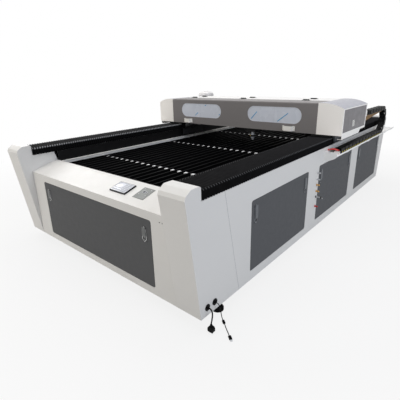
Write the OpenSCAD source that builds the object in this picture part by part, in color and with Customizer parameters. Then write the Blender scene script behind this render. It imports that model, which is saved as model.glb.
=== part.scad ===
// Flat-bed carbon dioxide laser cutter with a housed, travelling gantry.
// X runs across the machine, Y from the operator's end to the rear, Z up from the floor.
// The origin is on the floor, under the middle of the body.

/* [Body] */
// Width over the side panels
body_w = 2000; // [1800:10:2400]
// Length between the front and rear panels at the floor
body_l = 3520; // [3400:10:4400]
// Height of the side panels' top edge
deck_z = 768; // [750:1:800]
// Gap under the skirt
skirt_z = 80; // [60:1:100]
// Sheet metal thickness
sheet = 3; // [2:0.5:4]

/* [Corners] */
// Width of each corner cover
corner_w = 182; // [150:1:210]
// How far the corner's nose leans out over its foot
corner_lean = 95; // [60:1:110]
// Height of the corner's nose over the deck
nose_h = 78; // [70:1:82]
// Length of the corner's side at the deck
corner_top_l = 216; // [200:1:240]
// Length of the corner's side at the skirt
corner_foot_l = 365; // [300:1:400]
// Length of the rear corners' sides
rear_corner_l = 118; // [100:1:125]

/* [Desk] */
// Height of the desk's front edge
desk_front_z = 632; // [610:1:650]
// Height of the desk's rear edge
desk_rear_z = 690; // [670:1:710]
// Depth of the desk
desk_d = 225; // [200:1:240]

/* [Doors] */
// Width of the front door
front_door_w = 1272; // [900:1:1300]
// Height of the front door
front_door_h = 443; // [350:1:460]
// Height of the front door's sill
front_sill_z = 132; // [120:1:150]
// Width of each side door
side_door_w = 820; // [600:1:840]
// Height of each side door
side_door_h = 480; // [380:1:490]
// Height of the side doors' sill
side_sill_z = 149; // [146:1:165]
// Distance from one side door to the next
side_door_pitch = 1035; // [900:1:1040]
// Front edge of the first side door
side_door_y = 490; // [420:1:520]
// Depth of a door's folded edge
door_d = 12; // [8:1:14]
// Gap round each door
door_gap = 2; // [1:0.5:4]

/* [Bed] */
// Number of slats
slat_n = 21; // [15:1:24]
// Width of a slat's base
slat_w = 40; // [25:1:44]
// Height of a slat
slat_h = 36; // [20:1:45]
// Height of the slats' top edges
bed_z = 668; // [650:1:676]
// Distance from the front panel to the first comb bar
bar_y = 650; // [400:10:800]
// Distance from one comb bar to the next
bar_pitch = 890; // [400:10:1200]
// Width of the side beams
beam_w = 180; // [150:1:190]
// Height of the side beams
beam_h = 120; // [80:1:130]
// Height of the side beams' top
beam_z = 700; // [690:1:704]

/* [Gantry] */
// How far each end cap stands out past the body's side
cap_over = 81; // [60:1:85]
// Length of each end cap
cap_l = 216; // [205:1:250]
// Depth of the gantry housing
gantry_d = 650; // [600:1:680]
// Distance from the front panel to the gantry's front
gantry_y = 1725; // [900:1:2000]
// Height of the housing's lower edge
gantry_z0 = 851; // [850:1:860]
// Height of the housing's top
gantry_z1 = 1114; // [1080:1:1150]
// Front cover's depth on top
front_cover_d = 275; // [240:1:290]
// Rear cover's depth on top
rear_cover_d = 195; // [160:1:200]
// Height of the windows
window_h = 145; // [100:1:150]
// Width of the windows
window_w = 561; // [400:1:600]

/* [Laser] */
// Diameter of the laser tube
tube_d = 80; // [50:1:90]
// Length of the laser tube
tube_l = 1600; // [1200:10:1640]
// Where the laser head stands across the bed
head_x = 145; // [-600:1:600]
// Diameter of the focus tube
focus_d = 32; // [25:1:40]
// Height of the nozzle's tip
nozzle_z = 714; // [690:1:740]

/* [Cable chain] */
// Distance from one link's pin to the next
link_pitch = 50; // [46:1:58]
// Width of the chain
chain_w = 60; // [45:1:64]
// Height of a link
link_h = 44; // [30:1:44]
// Links along the lower run
links_low = 25; // [20:1:27]
// Links round the bend, an even number
links_bend = 8; // [8:2:10]
// Width of the chain tray
tray_w = 105; // [100:1:110]
// Height of the tray's floor
tray_z = 705; // [700:1:715]
// Front end of the tray
tray_y = 1600; // [1400:10:1700]

/* [Exhaust] */
// Diameter of the exhaust spigots
spigot_d = 150; // [100:1:160]
// Length of the exhaust spigots
spigot_l = 60; // [40:1:80]

/* [Hidden] */
$fn = 48;

half_w = body_w / 2;
inner_x = half_w - corner_w;
far_side_door_y = side_door_y + 2 * side_door_pitch + side_door_w;

// ---- Colours ----
paint = [0.86, 0.86, 0.85];
door_grey = [0.36, 0.38, 0.40];
black = [0.05, 0.05, 0.06];
steel = [0.62, 0.63, 0.65];
silver = [0.80, 0.81, 0.83];
red = [0.75, 0.10, 0.10];

// ---- Helpers ----
// Y is counted from the front panel's plane in every part below.
module from_front() translate([0, -body_l / 2, 0]) children();

module both_sides() {
    children();
    mirror([1, 0, 0]) children();
}

// Repeats at the rear end what stands at the front end.
module rear_end() translate([0, body_l, 0]) mirror([0, 1, 0]) children();

module block(lo, hi) translate(lo) cube(hi - lo);

// Extrudes a profile of (Y, Z) points across X.
module across(w, x = 0) translate([x, 0, 0]) rotate([90, 0, 90]) linear_extrude(w) children();

// Extrudes a profile of (X, Z) points along Y, from y0 over a length l.
module along(y0, l) translate([0, y0 + l, 0]) rotate([90, 0, 0]) linear_extrude(l) children();

// Cylinder along X or Y from a point.
module rod_x(p, r, l) translate(p) rotate([0, 90, 0]) cylinder(r = r, h = l);
module rod_y(p, r, l) translate(p) rotate([-90, 0, 0]) cylinder(r = r, h = l);

// A bent sheet: the polygon between a bend line p and its copy at the distance t to the left of it.
function normal(a, b) = [a[1] - b[1], b[0] - a[0]] / norm(b - a);
function bend_point(p, i, t) =
    i == 0 ? p[0] + t * normal(p[0], p[1])
    : i == len(p) - 1 ? p[i] + t * normal(p[i - 1], p[i])
    : let (a = normal(p[i - 1], p[i]), b = normal(p[i], p[i + 1])) p[i] + t * (a + b) / (1 + a * b);
function bent(p, t) = concat(p, [for (i = [len(p) - 1 : -1 : 0]) bend_point(p, i, t)]);

module stadium(w, h) {
    square([w - h, h], center = true);
    for (s = [-1, 1]) translate([s * (w - h) / 2, 0]) circle(d = h);
}

// ---- Welded frame and feet ----
tube = 60;
rail_x = half_w - 10 - tube;
base_z = skirt_z + sheet;
base_top = side_sill_z - door_gap - sheet - 1;
beam_x0 = half_w - 25 - beam_w;
beam_y0 = desk_d + 6;
post_ys = [
    side_door_y - tube - 12,
    side_door_y + side_door_pitch - (side_door_pitch - side_door_w + tube) / 2,
    side_door_y + 2 * side_door_pitch - (side_door_pitch - side_door_w + tube) / 2,
    far_side_door_y + 12,
];
frame_y0 = 22;
module frame() from_front() color(steel) {
    both_sides() {
        block([rail_x, frame_y0 + tube, base_z], [rail_x + tube, body_l - frame_y0 - tube, base_top]);
        block([beam_x0, beam_y0, beam_z - beam_h], [beam_x0 + beam_w, post_ys[3] + tube, beam_z]);
        for (y = post_ys)
            block([rail_x, y, base_top], [beam_x0 + beam_w, y + tube, beam_z - beam_h]);
    }
    for (y = [frame_y0, body_l - frame_y0 - tube])
        block([-rail_x - tube, y, base_z], [rail_x + tube, y + tube, base_top]);
    for (y = post_ys) block([-rail_x, y, base_z], [rail_x, y + tube, base_top]);
    block([-rail_x + 2, frame_y0, base_top], [rail_x - 2, body_l - frame_y0, base_top + sheet]);
}

foot_r = 38;
foot_at = concat(
    [[rail_x + 15, post_ys[0] - 200]],
    [for (i = [1 : 3]) [rail_x - 70, post_ys[i] + tube / 2]]
);
module leveling_feet() from_front() color(black) both_sides() for (at = foot_at)
    translate([at[0], at[1], 0]) rotate_extrude() polygon([
        [0, 0], [foot_r, 0], [foot_r, 14], [foot_r - 8, 26], [16, 32], [16, 44], [8, 44],
        [8, base_z], [0, base_z],
    ]);

// ---- Skins ----
desk_drop = 12;
desk_bend = [desk_d - 35, desk_rear_z - 2];
stop_y = door_d + 0.3;
door_r = 14;

// A rectangle with round corners, and the folded edge that runs round it.
module rounded(lo, size, r) {
    translate(lo + [r, 0]) square([size[0] - 2 * r, size[1]]);
    translate(lo + [0, r]) square([size[0], size[1] - 2 * r]);
    for (x = [r, size[0] - r], y = [r, size[1] - r]) translate(lo + [x, y]) circle(r = r);
}
module rim(lo, size, r, t, grow = 0) difference() {
    rounded(lo - [grow, grow], size + 2 * [grow, grow], r + grow);
    rounded(lo + [t - grow, t - grow], size - 2 * [t - grow, t - grow], r - t + grow);
}

front_lo = [-front_door_w / 2, front_sill_z];
front_size = [front_door_w, front_door_h];
gaps = [door_gap, door_gap];
module front_panel() from_front() color(paint) {
    along(0, sheet) difference() {
        translate([-inner_x, skirt_z]) square([2 * inner_x, desk_front_z - desk_drop - skirt_z]);
        rounded(front_lo - gaps, front_size + 2 * gaps, door_r + door_gap);
    }
    // the return round the opening, and the stop that the door closes on
    along(sheet, stop_y) rim(front_lo - gaps, front_size + 2 * gaps, door_r + door_gap, sheet, sheet);
    along(stop_y, sheet) rim(front_lo, front_size, door_r, 16, door_gap + 1);
    block([-inner_x, sheet, skirt_z], [inner_x, 40, skirt_z + sheet]);
}

// The desk's plane: a point at the distance s up its slope.
desk_dir = (desk_bend - [0, desk_front_z]) / norm(desk_bend - [0, desk_front_z]);
desk_tilt = atan2(desk_dir[1], desk_dir[0]);
module on_desk(x, s) translate([x, s * desk_dir[0], desk_front_z + s * desk_dir[1]])
    rotate([desk_tilt, 0, 0]) translate([0, 0, 0.05]) children();

keypad_size = [158, 104];
keypad_at = [254, 117];
socket_size = [72, 70];
socket_at = [452, 138];
module control_desk() from_front() color(paint) difference() {
    across(2 * inner_x, -inner_x) polygon(bent([
        [0, desk_front_z - desk_drop], [0, desk_front_z], desk_bend, [desk_d, desk_rear_z],
        [desk_d, desk_rear_z - 40],
    ], -sheet));
    on_desk(keypad_at[0], keypad_at[1]) block([-70, -44, -20], [70, 44, 20]);
    on_desk(socket_at[0], socket_at[1]) block([-26, -26, -20], [26, 26, 20]);
}

module keypad() from_front() on_desk(keypad_at[0], keypad_at[1]) {
    w = keypad_size[0] / 2;
    d = keypad_size[1] / 2;
    color(black) {
        block([-w, -d, 0], [w, d, 7]);
        block([-69, -43, -30], [69, 43, 0]);
    }
    color(silver) block([-w + 2, -d + 2, 7], [w - 2, d - 2, 10]);
}

module socket_plate() from_front() on_desk(socket_at[0], socket_at[1]) color(steel) {
    w = socket_size[0] / 2;
    d = socket_size[1] / 2;
    difference() {
        union() {
            block([-w, -d, 0], [w, d, 3]);
            block([-25, -25, -18], [25, 25, 0]);
        }
        block([-16, -8, -12], [-2, 8, 4]);
        block([6, -4, -12], [16, 4, 4]);
    }
}

// Corner covers: the nose leans out over the foot, and a step behind it takes the bellows' end.
nose_z = deck_z + nose_h;
nose = [
    [0, skirt_z], [-corner_lean + 4, nose_z - 66], [-corner_lean, nose_z - 46],
    [-corner_lean + 10, nose_z - 26], [-52, nose_z - 3], [-42, nose_z], [14, nose_z], [24, nose_z - 8], [24, deck_z],
];
ear_y = 24;
module corner(top_l, foot_l, ledge, inside, holes = false) color(paint) {
    // front, nose and ledge are one bent strip between two side plates
    across(corner_w, inner_x) polygon(bent(concat(nose, ledge), -sheet));
    across(sheet, inner_x) polygon(concat(nose, ledge, inside));
    difference() {
        across(sheet, half_w - sheet) polygon(concat(nose, [[top_l, deck_z], [foot_l, skirt_z]]));
        if (holes) for (y = grommet_ys)
            rod_x([half_w - 10, y, grommet_z], grommet_neck_r + 0.3, 20);
    }
}
module front_corner(holes = false) corner(
    corner_top_l, corner_foot_l,
    [[corner_top_l - 11, deck_z], [desk_d + 3, desk_rear_z]],
    [[desk_d + 3, desk_rear_z - 50], [20, desk_front_z - 40], [20, skirt_z]],
    holes
);
grommet_ys = [55, 120];
grommet_z = 134;
grommet_neck_r = 17;
module front_corners() from_front() {
    mirror([1, 0, 0]) front_corner();
    front_corner(true);
}
module rear_corners() from_front() rear_end() both_sides() corner(
    rear_corner_l, rear_corner_l,
    [[rear_corner_l - 6, deck_z]],
    [[rear_corner_l - 6, beam_z + 10], [20, beam_z + 10], [20, skirt_z]]
);

// Outline of a side panel between its corner covers, in (Y, Z).
side_outline = [
    [corner_top_l, deck_z], [corner_foot_l, skirt_z],
    [body_l - rear_corner_l, skirt_z], [body_l - rear_corner_l, deck_z],
];
fitting_y = side_door_y + side_door_w + 185;
fitting_zs = [578, 523, 475, 421, 372, 287];
fitting_r = 6;
module side_sheet() {
    across(sheet, half_w - sheet) difference() {
        polygon(side_outline);
        children();
    }
    block([half_w - 38, corner_foot_l, skirt_z], [half_w - sheet, body_l - rear_corner_l, skirt_z + sheet]);
    block([half_w - 15, corner_top_l + 2, deck_z - sheet], [half_w - sheet, body_l - rear_corner_l, deck_z]);
}

side_size = [side_door_w, side_door_h];
function side_lo(i) = [side_door_y + i * side_door_pitch, side_sill_z];
module side_panel_right() from_front() color(paint) {
    side_sheet() {
        for (i = [0 : 2]) rounded(side_lo(i) - gaps, side_size + 2 * gaps, door_r + door_gap);
        for (z = fitting_zs) translate([fitting_y, z]) circle(r = fitting_r + 0.3);
    }
    for (i = [0 : 2]) {
        across(stop_y, half_w - sheet - stop_y)
            rim(side_lo(i) - gaps, side_size + 2 * gaps, door_r + door_gap, sheet, sheet);
        across(sheet, half_w - stop_y - sheet) rim(side_lo(i), side_size, door_r, 16, door_gap + 1);
    }
}

louvre = [180, 9];
module side_panel_left() from_front() color(paint) mirror([1, 0, 0])
    side_sheet() {
        for (i = [0 : 2], k = [0 : 7])
            translate([side_door_y + i * side_door_pitch + 200, 240 + 24 * k]) square(louvre);
    }

spigot_x = 350;
spigot_z = 360;
module rear_panel() from_front() color(paint) difference() {
    union() {
        across(2 * inner_x, -inner_x) polygon(bent([
            [body_l - desk_d, deck_z - 60], [body_l - desk_d, deck_z], [body_l, deck_z],
            [body_l, skirt_z], [body_l - 40, skirt_z],
        ], -sheet));
    }
    for (s = [-1, 1]) rod_y([s * spigot_x, body_l - 10, spigot_z], spigot_d / 2 + 0.3, 20);
}

// ---- Exhaust ----
module exhaust_spigots() from_front() color(steel) for (s = [-1, 1])
    translate([s * spigot_x, body_l, spigot_z]) rotate([-90, 0, 0]) rotate_extrude($fn = 72) {
        translate([spigot_d / 2 - 2, -30]) square([2, spigot_l + 30]);
        translate([spigot_d / 2 - 2, 0]) square([26, sheet]);
    }

// ---- Bed ----
well_x = beam_x0 - sheet;
well_y0 = desk_d;
well_y1 = body_l - desk_d;
well_z0 = 560;
module well_walls() from_front() color(black) {
    both_sides() block([well_x, well_y0, well_z0], [well_x + sheet, well_y1, deck_z]);
    block([-well_x, well_y0, well_z0], [well_x, well_y0 + sheet, desk_rear_z - 4]);
    block([-well_x, well_y1 - sheet, well_z0], [well_x, well_y1, deck_z - 4]);
}

bar_w = 24;
bar_h = 40;
bar_top = bed_z - slat_h;
comb_ys = [for (y = bar_y; y < well_y1 - 60 - 2 * bar_w; y = y + bar_pitch) y];
slat_pitch = (2 * well_x - 94) / slat_n;
// The bars under the slats carry teeth that stand up between them; the two end bars are plain.
module bed_crossbars() from_front() color(silver) {
    for (y = [well_y0 + 60, well_y1 - 60])
        block([-well_x, y - bar_w / 2, bar_top - bar_h], [well_x, y + bar_w / 2, bar_top]);
    tooth = slat_pitch - slat_w - 0.6;
    for (y = comb_ys) along(y - bar_w / 2, bar_w) {
        translate([-well_x, bar_top - bar_h]) square([2 * well_x, bar_h]);
        for (i = [0 : slat_n]) translate([(i - slat_n / 2) * slat_pitch - tooth / 2, bar_top - 1])
            square([tooth, slat_h - 7]);
    }
}

module bed_slats() from_front() color(black)
    for (i = [0 : slat_n - 1])
        translate([(i - (slat_n - 1) / 2) * slat_pitch, 0, bar_top])
            along(well_y0 + sheet + 2, well_y1 - well_y0 - 2 * sheet - 4) polygon([
                [-slat_w / 2, 0], [-slat_w / 2, 6], [-slat_w / 2 + 12, 8], [-6, slat_h], [6, slat_h],
                [slat_w / 2 - 12, 8], [slat_w / 2, 6], [slat_w / 2, 0],
            ]);

rail_top = 680;
module edge_rails() from_front() color(silver) both_sides()
    along(well_y0 + sheet, well_y1 - well_y0 - 2 * sheet) polygon(bent([
        [well_x, rail_top - 30], [well_x, rail_top], [well_x - 22, rail_top],
    ], 2.5));

hopper_y0 = well_y0 + sheet;
hopper_y1 = well_y1 - sheet;
hopper_x = 250;
hopper_z = 330;
hopper_line = [
    [-well_x, bar_top - bar_h - 2], [-well_x, well_z0 + 2], [-hopper_x, hopper_z], [hopper_x, hopper_z],
    [well_x, well_z0 + 2], [well_x, bar_top - bar_h - 2],
];
module dust_hopper() from_front() color(steel) {
    along(hopper_y0, hopper_y1 - hopper_y0) polygon(bent(hopper_line, sheet));
    for (y = [hopper_y0, hopper_y1 - sheet]) along(y, sheet) polygon(hopper_line);
}

// ---- Guides ----
y_rail_x = half_w - 100;
// A profiled guide's section, grown by a clearance g.
guide_h = 18;
function guide(g) = [
    [-10 - g, -g], [-10 - g, 6 - g], [-8 - g, 9], [-10 - g, 12 + g], [-10 - g, guide_h + g],
    [10 + g, guide_h + g], [10 + g, 12 + g], [8 + g, 9], [10 + g, 6 - g], [10 + g, -g],
];
module y_rails() from_front() color(silver) both_sides()
    translate([y_rail_x, 0, beam_z]) along(beam_y0 + 4, body_l - 2 * beam_y0 - 8)
        polygon(guide(0));

// ---- Power and control in the front cabinet ----
module power_supplies() from_front() color(steel) {
    z = base_top + sheet;
    block([-800, 100, z], [-650, 380, z + 190]);
    block([650, 100, z], [800, 330, z + 150]);
}

// ---- Fittings on the right side ----
module hose_fittings() from_front() for (i = [0 : 5])
    color(i < 2 ? silver : i < 4 ? [0.80, 0.55, 0.25] : i == 4 ? black : red)
        translate([half_w - sheet, fitting_y, fitting_zs[i]]) rotate([0, 90, 0]) {
            translate([0, 0, -12]) cylinder(r = fitting_r, h = 12 + sheet);
            for (z = [-6, sheet]) translate([0, 0, z]) cylinder(r = 10, h = 6, $fn = 6);
            translate([0, 0, sheet + 6]) cylinder(r = 5, h = i == 4 ? 34 : 20);
            if (i == 4) translate([0, 0, sheet + 40]) cylinder(r = 8, h = 12);
        }

module cord_grommets() from_front() color(black) for (y = grommet_ys)
    translate([half_w - sheet - 5, y, grommet_z]) rotate([0, 90, 0]) {
        cylinder(r = grommet_neck_r + 3, h = 4.8);
        cylinder(r = grommet_neck_r, h = 10);
        translate([0, 0, 5 + sheet + 0.2]) cylinder(r = grommet_neck_r + 3, h = 3.8);
        translate([0, 0, 11]) cylinder(r1 = 9, r2 = 6, h = 9);
    }

// ---- Cords: one tube swept along chosen points ----
function unit(v) = v / norm(v);
function tangent(p, i) = unit(p[min(i + 1, len(p) - 1)] - p[max(i - 1, 0)]);
module tube_along(p, r, sides = 10) {
    n = len(p);
    ring = [for (i = [0 : n - 1]) let (
        t = tangent(p, i),
        u = unit(cross(t, abs(t[2]) > 0.9 ? [0, 1, 0] : [0, 0, 1])),
        v = cross(u, t)
    ) each [for (k = [0 : sides - 1]) p[i] + r * (cos(360 * k / sides) * u + sin(360 * k / sides) * v)]];
    polyhedron(ring, concat(
        [[for (k = [0 : sides - 1]) k]],
        [for (i = [0 : n - 2], k = [0 : sides - 1])
            [i * sides + k, (i + 1) * sides + k, (i + 1) * sides + (k + 1) % sides,
                i * sides + (k + 1) % sides]],
        [[for (k = [sides - 1 : -1 : 0]) (n - 1) * sides + k]]
    ));
}

power_path = [
    [1012, 55, 134], [1017, 55, 134], [1026, 54, 132], [1033, 53, 127], [1038, 51, 119], [1041, 48, 109],
    [1043, 44, 98], [1044, 40, 87], [1045, 36, 77], [1045, 33, 70], [1045, 31, 64], [1045, 31, 58],
];
usb_path = [
    [1012, 120, 134], [1017, 120, 134], [1024, 121, 131], [1029, 122, 124], [1031, 124, 114],
    [1032, 127, 102], [1032, 131, 89], [1031, 135, 76], [1029, 140, 63], [1027, 145, 50],
    [1025, 150, 37], [1023, 154, 27], [1022, 157, 18], [1025, 157, 11], [1032, 152, 8], [1040, 146, 8],
    [1050, 139, 8], [1060, 131, 8], [1068, 125, 7], [1076, 119, 5], [1084, 113, 3], [1092, 107, 3],
    [1100, 101, 3], [1108, 95, 3], [1116, 89, 3], [1122, 84, 4], [1130, 78, 5], [1138, 72, 5],
];
power_d = 8;
usb_d = 5;
module power_cord() from_front() color(black) tube_along(power_path, power_d / 2);
module usb_cord() from_front() color(black) tube_along(usb_path, usb_d / 2);

module power_plug() from_front() translate([1045, 31, 2]) color(black) {
    translate([0, 0, 44]) cylinder(r1 = 10, r2 = 7, h = 12);
    rotate([90, 0, 0]) linear_extrude(24, center = true) polygon([
        [-13, 12], [-18, 16], [-18, 34], [-12, 44], [12, 44], [18, 34], [18, 16], [13, 12],
    ]);
    color(silver) for (x = [-8, 8]) block([x - 1, -3, -1.5], [x + 1, 3, 12]);
}

module usb_plug() from_front() {
    turn = -atan2(3, 4);
    color(black) {
        translate([1040, 146, 8]) rotate([0, 0, turn]) rotate([0, 90, 0]) rotate_extrude() polygon([
            [3, 0], [6, 0], [8, 2], [8, 23], [6, 25], [3, 25],
        ]);
        translate([1138, 72, 5]) rotate([0, 0, turn]) block([0, -8, -4.5], [26, 8, 4.5]);
    }
    color(silver) translate([1138, 72, 5]) rotate([0, 0, turn]) block([26, -6, -2.2], [40, 6, 2.2]);
}

// ---- Chain tray ----
chain_x = half_w + tray_w - 9 - chain_w / 2;
plate_t = 4;
// the bend's links are the sides of half a polygon
chain_r = link_pitch / (2 * sin(90 / links_bend));
lid_gap = link_h * tan(90 / links_bend) + 1.5;
pin_y = tray_y + 130;
low_z = tray_z + link_h / 2 + 0.3;
bend_y = pin_y + links_low * link_pitch;
links_up = floor((bend_y - gantry_y - gantry_d - sheet - link_h / 2 - 0.3) / link_pitch);
top_pin_y = bend_y - links_up * link_pitch;
top_z = low_z + 2 * chain_r;
tray_l = body_l + 60 - tray_y;
// The lugs that hold the first and last links fill the room between their plates.
function lug_w(i) = chain_w - 2 * (plate_t + 0.3) * (1 + i % 2);
lug_low = lug_w(0) / 2;
lug_top = lug_w(links_low + links_bend + links_up - 1) / 2;
module chain_tray() from_front() color(paint) {
    x1 = half_w + tray_w;
    z1 = tray_z - sheet;
    along(tray_y, tray_l) polygon(bent([
        [half_w, tray_z + 27], [half_w, z1], [x1, z1], [x1, tray_z + 10],
    ], sheet));
    along(tray_y - sheet, sheet) polygon([
        [half_w, z1 - 60], [half_w, tray_z + 27], [x1, tray_z + 37], [x1, z1], [x1 - 15, z1 - 17],
    ]);
    for (i = [1 : 6]) along(tray_y + i * (tray_l - 40) / 6, sheet) polygon([
        [half_w, z1 - 60], [half_w, z1], [x1, z1], [x1 - 15, z1 - 17],
    ]);
    block([chain_x - lug_low, pin_y - 15, tray_z], [chain_x + lug_low, pin_y + lid_gap / 2 - 0.3, low_z - 2]);
}

// ---- Cable chain: a link's plates lie outside or inside its neighbours' ----
// Lids close each link above and below; between inner plates they are narrower, on a cross piece.
module chain_link(i) color(black) {
    half = chain_w / 2 - (i % 2) * (plate_t + 0.3);
    lid_half = chain_w / 2 - (2 - i % 2) * (plate_t + 0.3);
    rotate([90, 0, 90]) {
        for (z = [-half, half - plate_t]) translate([link_pitch / 2, 0, z]) linear_extrude(plate_t)
            stadium(link_pitch + link_h, link_h);
        for (v = [-link_h / 2, link_h / 2 - 3]) {
            translate([lid_gap / 2, v, -lid_half]) cube([link_pitch - lid_gap, 3, 2 * lid_half]);
            translate([link_h / 2 + 0.4, v, -half]) cube([link_pitch - link_h - 0.8, 3, 2 * half]);
        }
    }
}
function bend_pin(k) = [chain_x, bend_y + chain_r * sin(180 * k / links_bend),
    low_z + chain_r - chain_r * cos(180 * k / links_bend)];
module chain_lower() from_front() for (i = [0 : links_low - 1])
    translate([chain_x, pin_y + i * link_pitch, low_z]) chain_link(i);
module chain_arc(from, to) from_front() for (k = [from : to - 1])
    translate(bend_pin(k)) rotate([180 * (k + 0.5) / links_bend, 0, 0]) chain_link(links_low + k);
module chain_bend_lower() chain_arc(0, links_bend / 2);
module chain_bend_upper() chain_arc(links_bend / 2, links_bend);
module chain_upper() from_front() for (i = [0 : links_up - 1])
    translate([chain_x, bend_y - i * link_pitch, top_z]) rotate([180, 0, 0])
        chain_link(links_low + links_bend + i);

// ---- Gantry ----
module on_gantry() from_front() translate([0, gantry_y, 0]) children();
gx = half_w + cap_over;
cover_x = gx - cap_l;
span_x = rail_x + 30;
span_y1 = gantry_d - 220;
span_y0 = span_y1 - 160;
span_z0 = gantry_z0 + 39;
span_z1 = gantry_z1 - 84;
plate_z = beam_z + 32;
tube_y = gantry_d - 110;
shelf_z = gantry_z0 + 57;
module gantry_beam() on_gantry() color(steel) {
    block([-span_x, span_y0, span_z0], [span_x, span_y1, span_z1]);
    for (x = [-y_rail_x, y_rail_x]) block([x - 40, span_y0, plate_z + 16], [x + 40, span_y1, span_z0]);
    across(2 * cover_x - 30, 15 - cover_x) polygon(bent([
        [span_y1, shelf_z], [gantry_d - 14, shelf_z], [gantry_d - 14, shelf_z + 24],
    ], 4));
}

frame_front = 57;
frame_rear = gantry_d - 57;
bellows_z = 826;
bellows_x0 = well_x + 4;
bellows_x1 = half_w - 1;
module gantry_plates() on_gantry() color(silver) both_sides() {
    block([y_rail_x - 48, frame_front + 3, plate_z], [y_rail_x + 48, frame_rear - 3, plate_z + 16]);
    for (y = [frame_front, frame_rear - 3]) along(y, 3) polygon([
        [y_rail_x - 48, plate_z], [y_rail_x - 48, deck_z + 4], [bellows_x0 + 4, deck_z + 4],
        [bellows_x0 + 4, bellows_z + 18], [half_w - 7, bellows_z + 18], [half_w - 7, deck_z + 4],
        [y_rail_x + 48, deck_z + 4], [y_rail_x + 48, plate_z],
    ]);
    // bracket that reaches over the wall of the well
    along(frame_front + 3, 360) polygon(bent([
        [well_x - 22, 700], [well_x - 22, deck_z + 10], [y_rail_x - 44, deck_z + 10],
        [y_rail_x - 44, plate_z + 16],
    ], -6));
}

module y_carriages() on_gantry() color(silver) both_sides()
    for (y = [frame_front + 20, frame_rear - 110]) translate([y_rail_x, 0, beam_z])
        along(y, 90) difference() {
            translate([-24, 4]) square([48, 28]);
            polygon(guide(0.3));
        }

hinge_front = front_cover_d;
hinge_rear = gantry_d - rear_cover_d;
module housing_spine() on_gantry() color(paint) {
    block([-cover_x, hinge_front, gantry_z1 - sheet], [cover_x, hinge_rear, gantry_z1]);
    for (x = [-cover_x + 4, -cover_x / 3, cover_x / 3, cover_x - 8])
        block([x, span_y0 + 10, span_z1], [x + 4, span_y1 - 5, gantry_z1 - sheet]);
}

// End caps: flat on top, then falling in one wide arc to the end face.
cap_flat = 40;
cap_r = 390;
module cap_section(t) intersection() {
    translate([cover_x, gantry_z0 - 1]) square([gx - t - cover_x, gantry_z1 - t - gantry_z0 + 1]);
    union() {
        translate([cover_x - 1, gantry_z0 - 2]) square([cap_flat + 1, gantry_z1 - t - gantry_z0 + 2]);
        translate([cover_x + cap_flat, gantry_z1 - cap_r]) circle(r = cap_r - t, $fn = 144);
    }
}
panel_y = [20, gantry_d - 20];
panel_z = [gantry_z0 + 21, gantry_z1 - 52];
module end_cap() {
    difference() {
        union() {
            along(0, gantry_d) difference() {
                cap_section(0);
                translate([0, -2]) cap_section(sheet);
                cap_section(sheet);
            }
            for (y = [0, gantry_d - sheet]) along(y, sheet) intersection() {
                cap_section(0);
                translate([cover_x, gantry_z0]) square([gx - cover_x, gantry_z1 - gantry_z0]);
            }
        }
        block([gx - 20, panel_y[0], panel_z[0]], [gx + 1, panel_y[1], panel_z[1]]);
        block([cover_x - 1, -1, gantry_z0 - 5], [gx + 1, gantry_d + 1, gantry_z0]);
    }
    difference() {
        block([span_x, sheet, span_z0 - 20], [span_x + sheet, gantry_d - sheet, gantry_z1 - 14]);
        rod_x([span_x - 1, tube_y, shelf_z + 77], 60, 10);
        rod_x([span_x - 1, span_y0 - 130, shelf_z + 77], 60, 10);
    }
    // flange under the end face
    across(sheet, gx - sheet) polygon([
        [10, gantry_z0 + 4], [10, gantry_z0 - 31], [470, gantry_z0 - 31], [505, gantry_z0],
        [505, gantry_z0 + 4],
    ]);
    block([gx - 36, 10, gantry_z0 - 31], [gx, 470, gantry_z0 - 28]);
}
module end_cap_left() on_gantry() color(paint) mirror([1, 0, 0]) end_cap();
module end_cap_right() on_gantry() color(paint) {
    end_cap();
    lug_end = top_pin_y - gantry_y + 15;
    block([gx - 70, gantry_d, top_z - 30], [chain_x + lug_top, gantry_d + sheet, top_z + 25]);
    block([chain_x - lug_top, gantry_d, top_z - 10], [chain_x + lug_top, lug_end, top_z + 10]);
}

tube_z = shelf_z + 77;
module laser_tube() on_gantry() color([0.75, 0.85, 0.9]) translate([-tube_l / 2, tube_y, tube_z])
    rotate([0, 90, 0]) rotate_extrude() polygon([
        [0, 0], [14, 0], [14, 30], [22, 34], [22, 120], [tube_d / 2, 136],
        [tube_d / 2, tube_l - 136], [22, tube_l - 120], [22, tube_l - 34], [14, tube_l - 30],
        [14, tube_l], [0, tube_l],
    ]);

module tube_clamps() on_gantry() color(black) for (s = [-1, 1])
    across(24, s * tube_l * 0.31 - 12) difference() {
        union() {
            translate([tube_y, tube_z]) circle(r = tube_d / 2 + 10);
            translate([tube_y - 42, shelf_z + 4]) square([84, tube_z - shelf_z - 4]);
        }
        translate([tube_y, tube_z]) circle(r = tube_d / 2 + 0.2);
    }

x_rail_z = span_z1 - 75;
module x_rail() on_gantry() color(silver) translate([0, span_y0, x_rail_z])
    across(2 * cover_x - 20, 10 - cover_x) rotate(90) polygon(guide(0));

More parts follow.
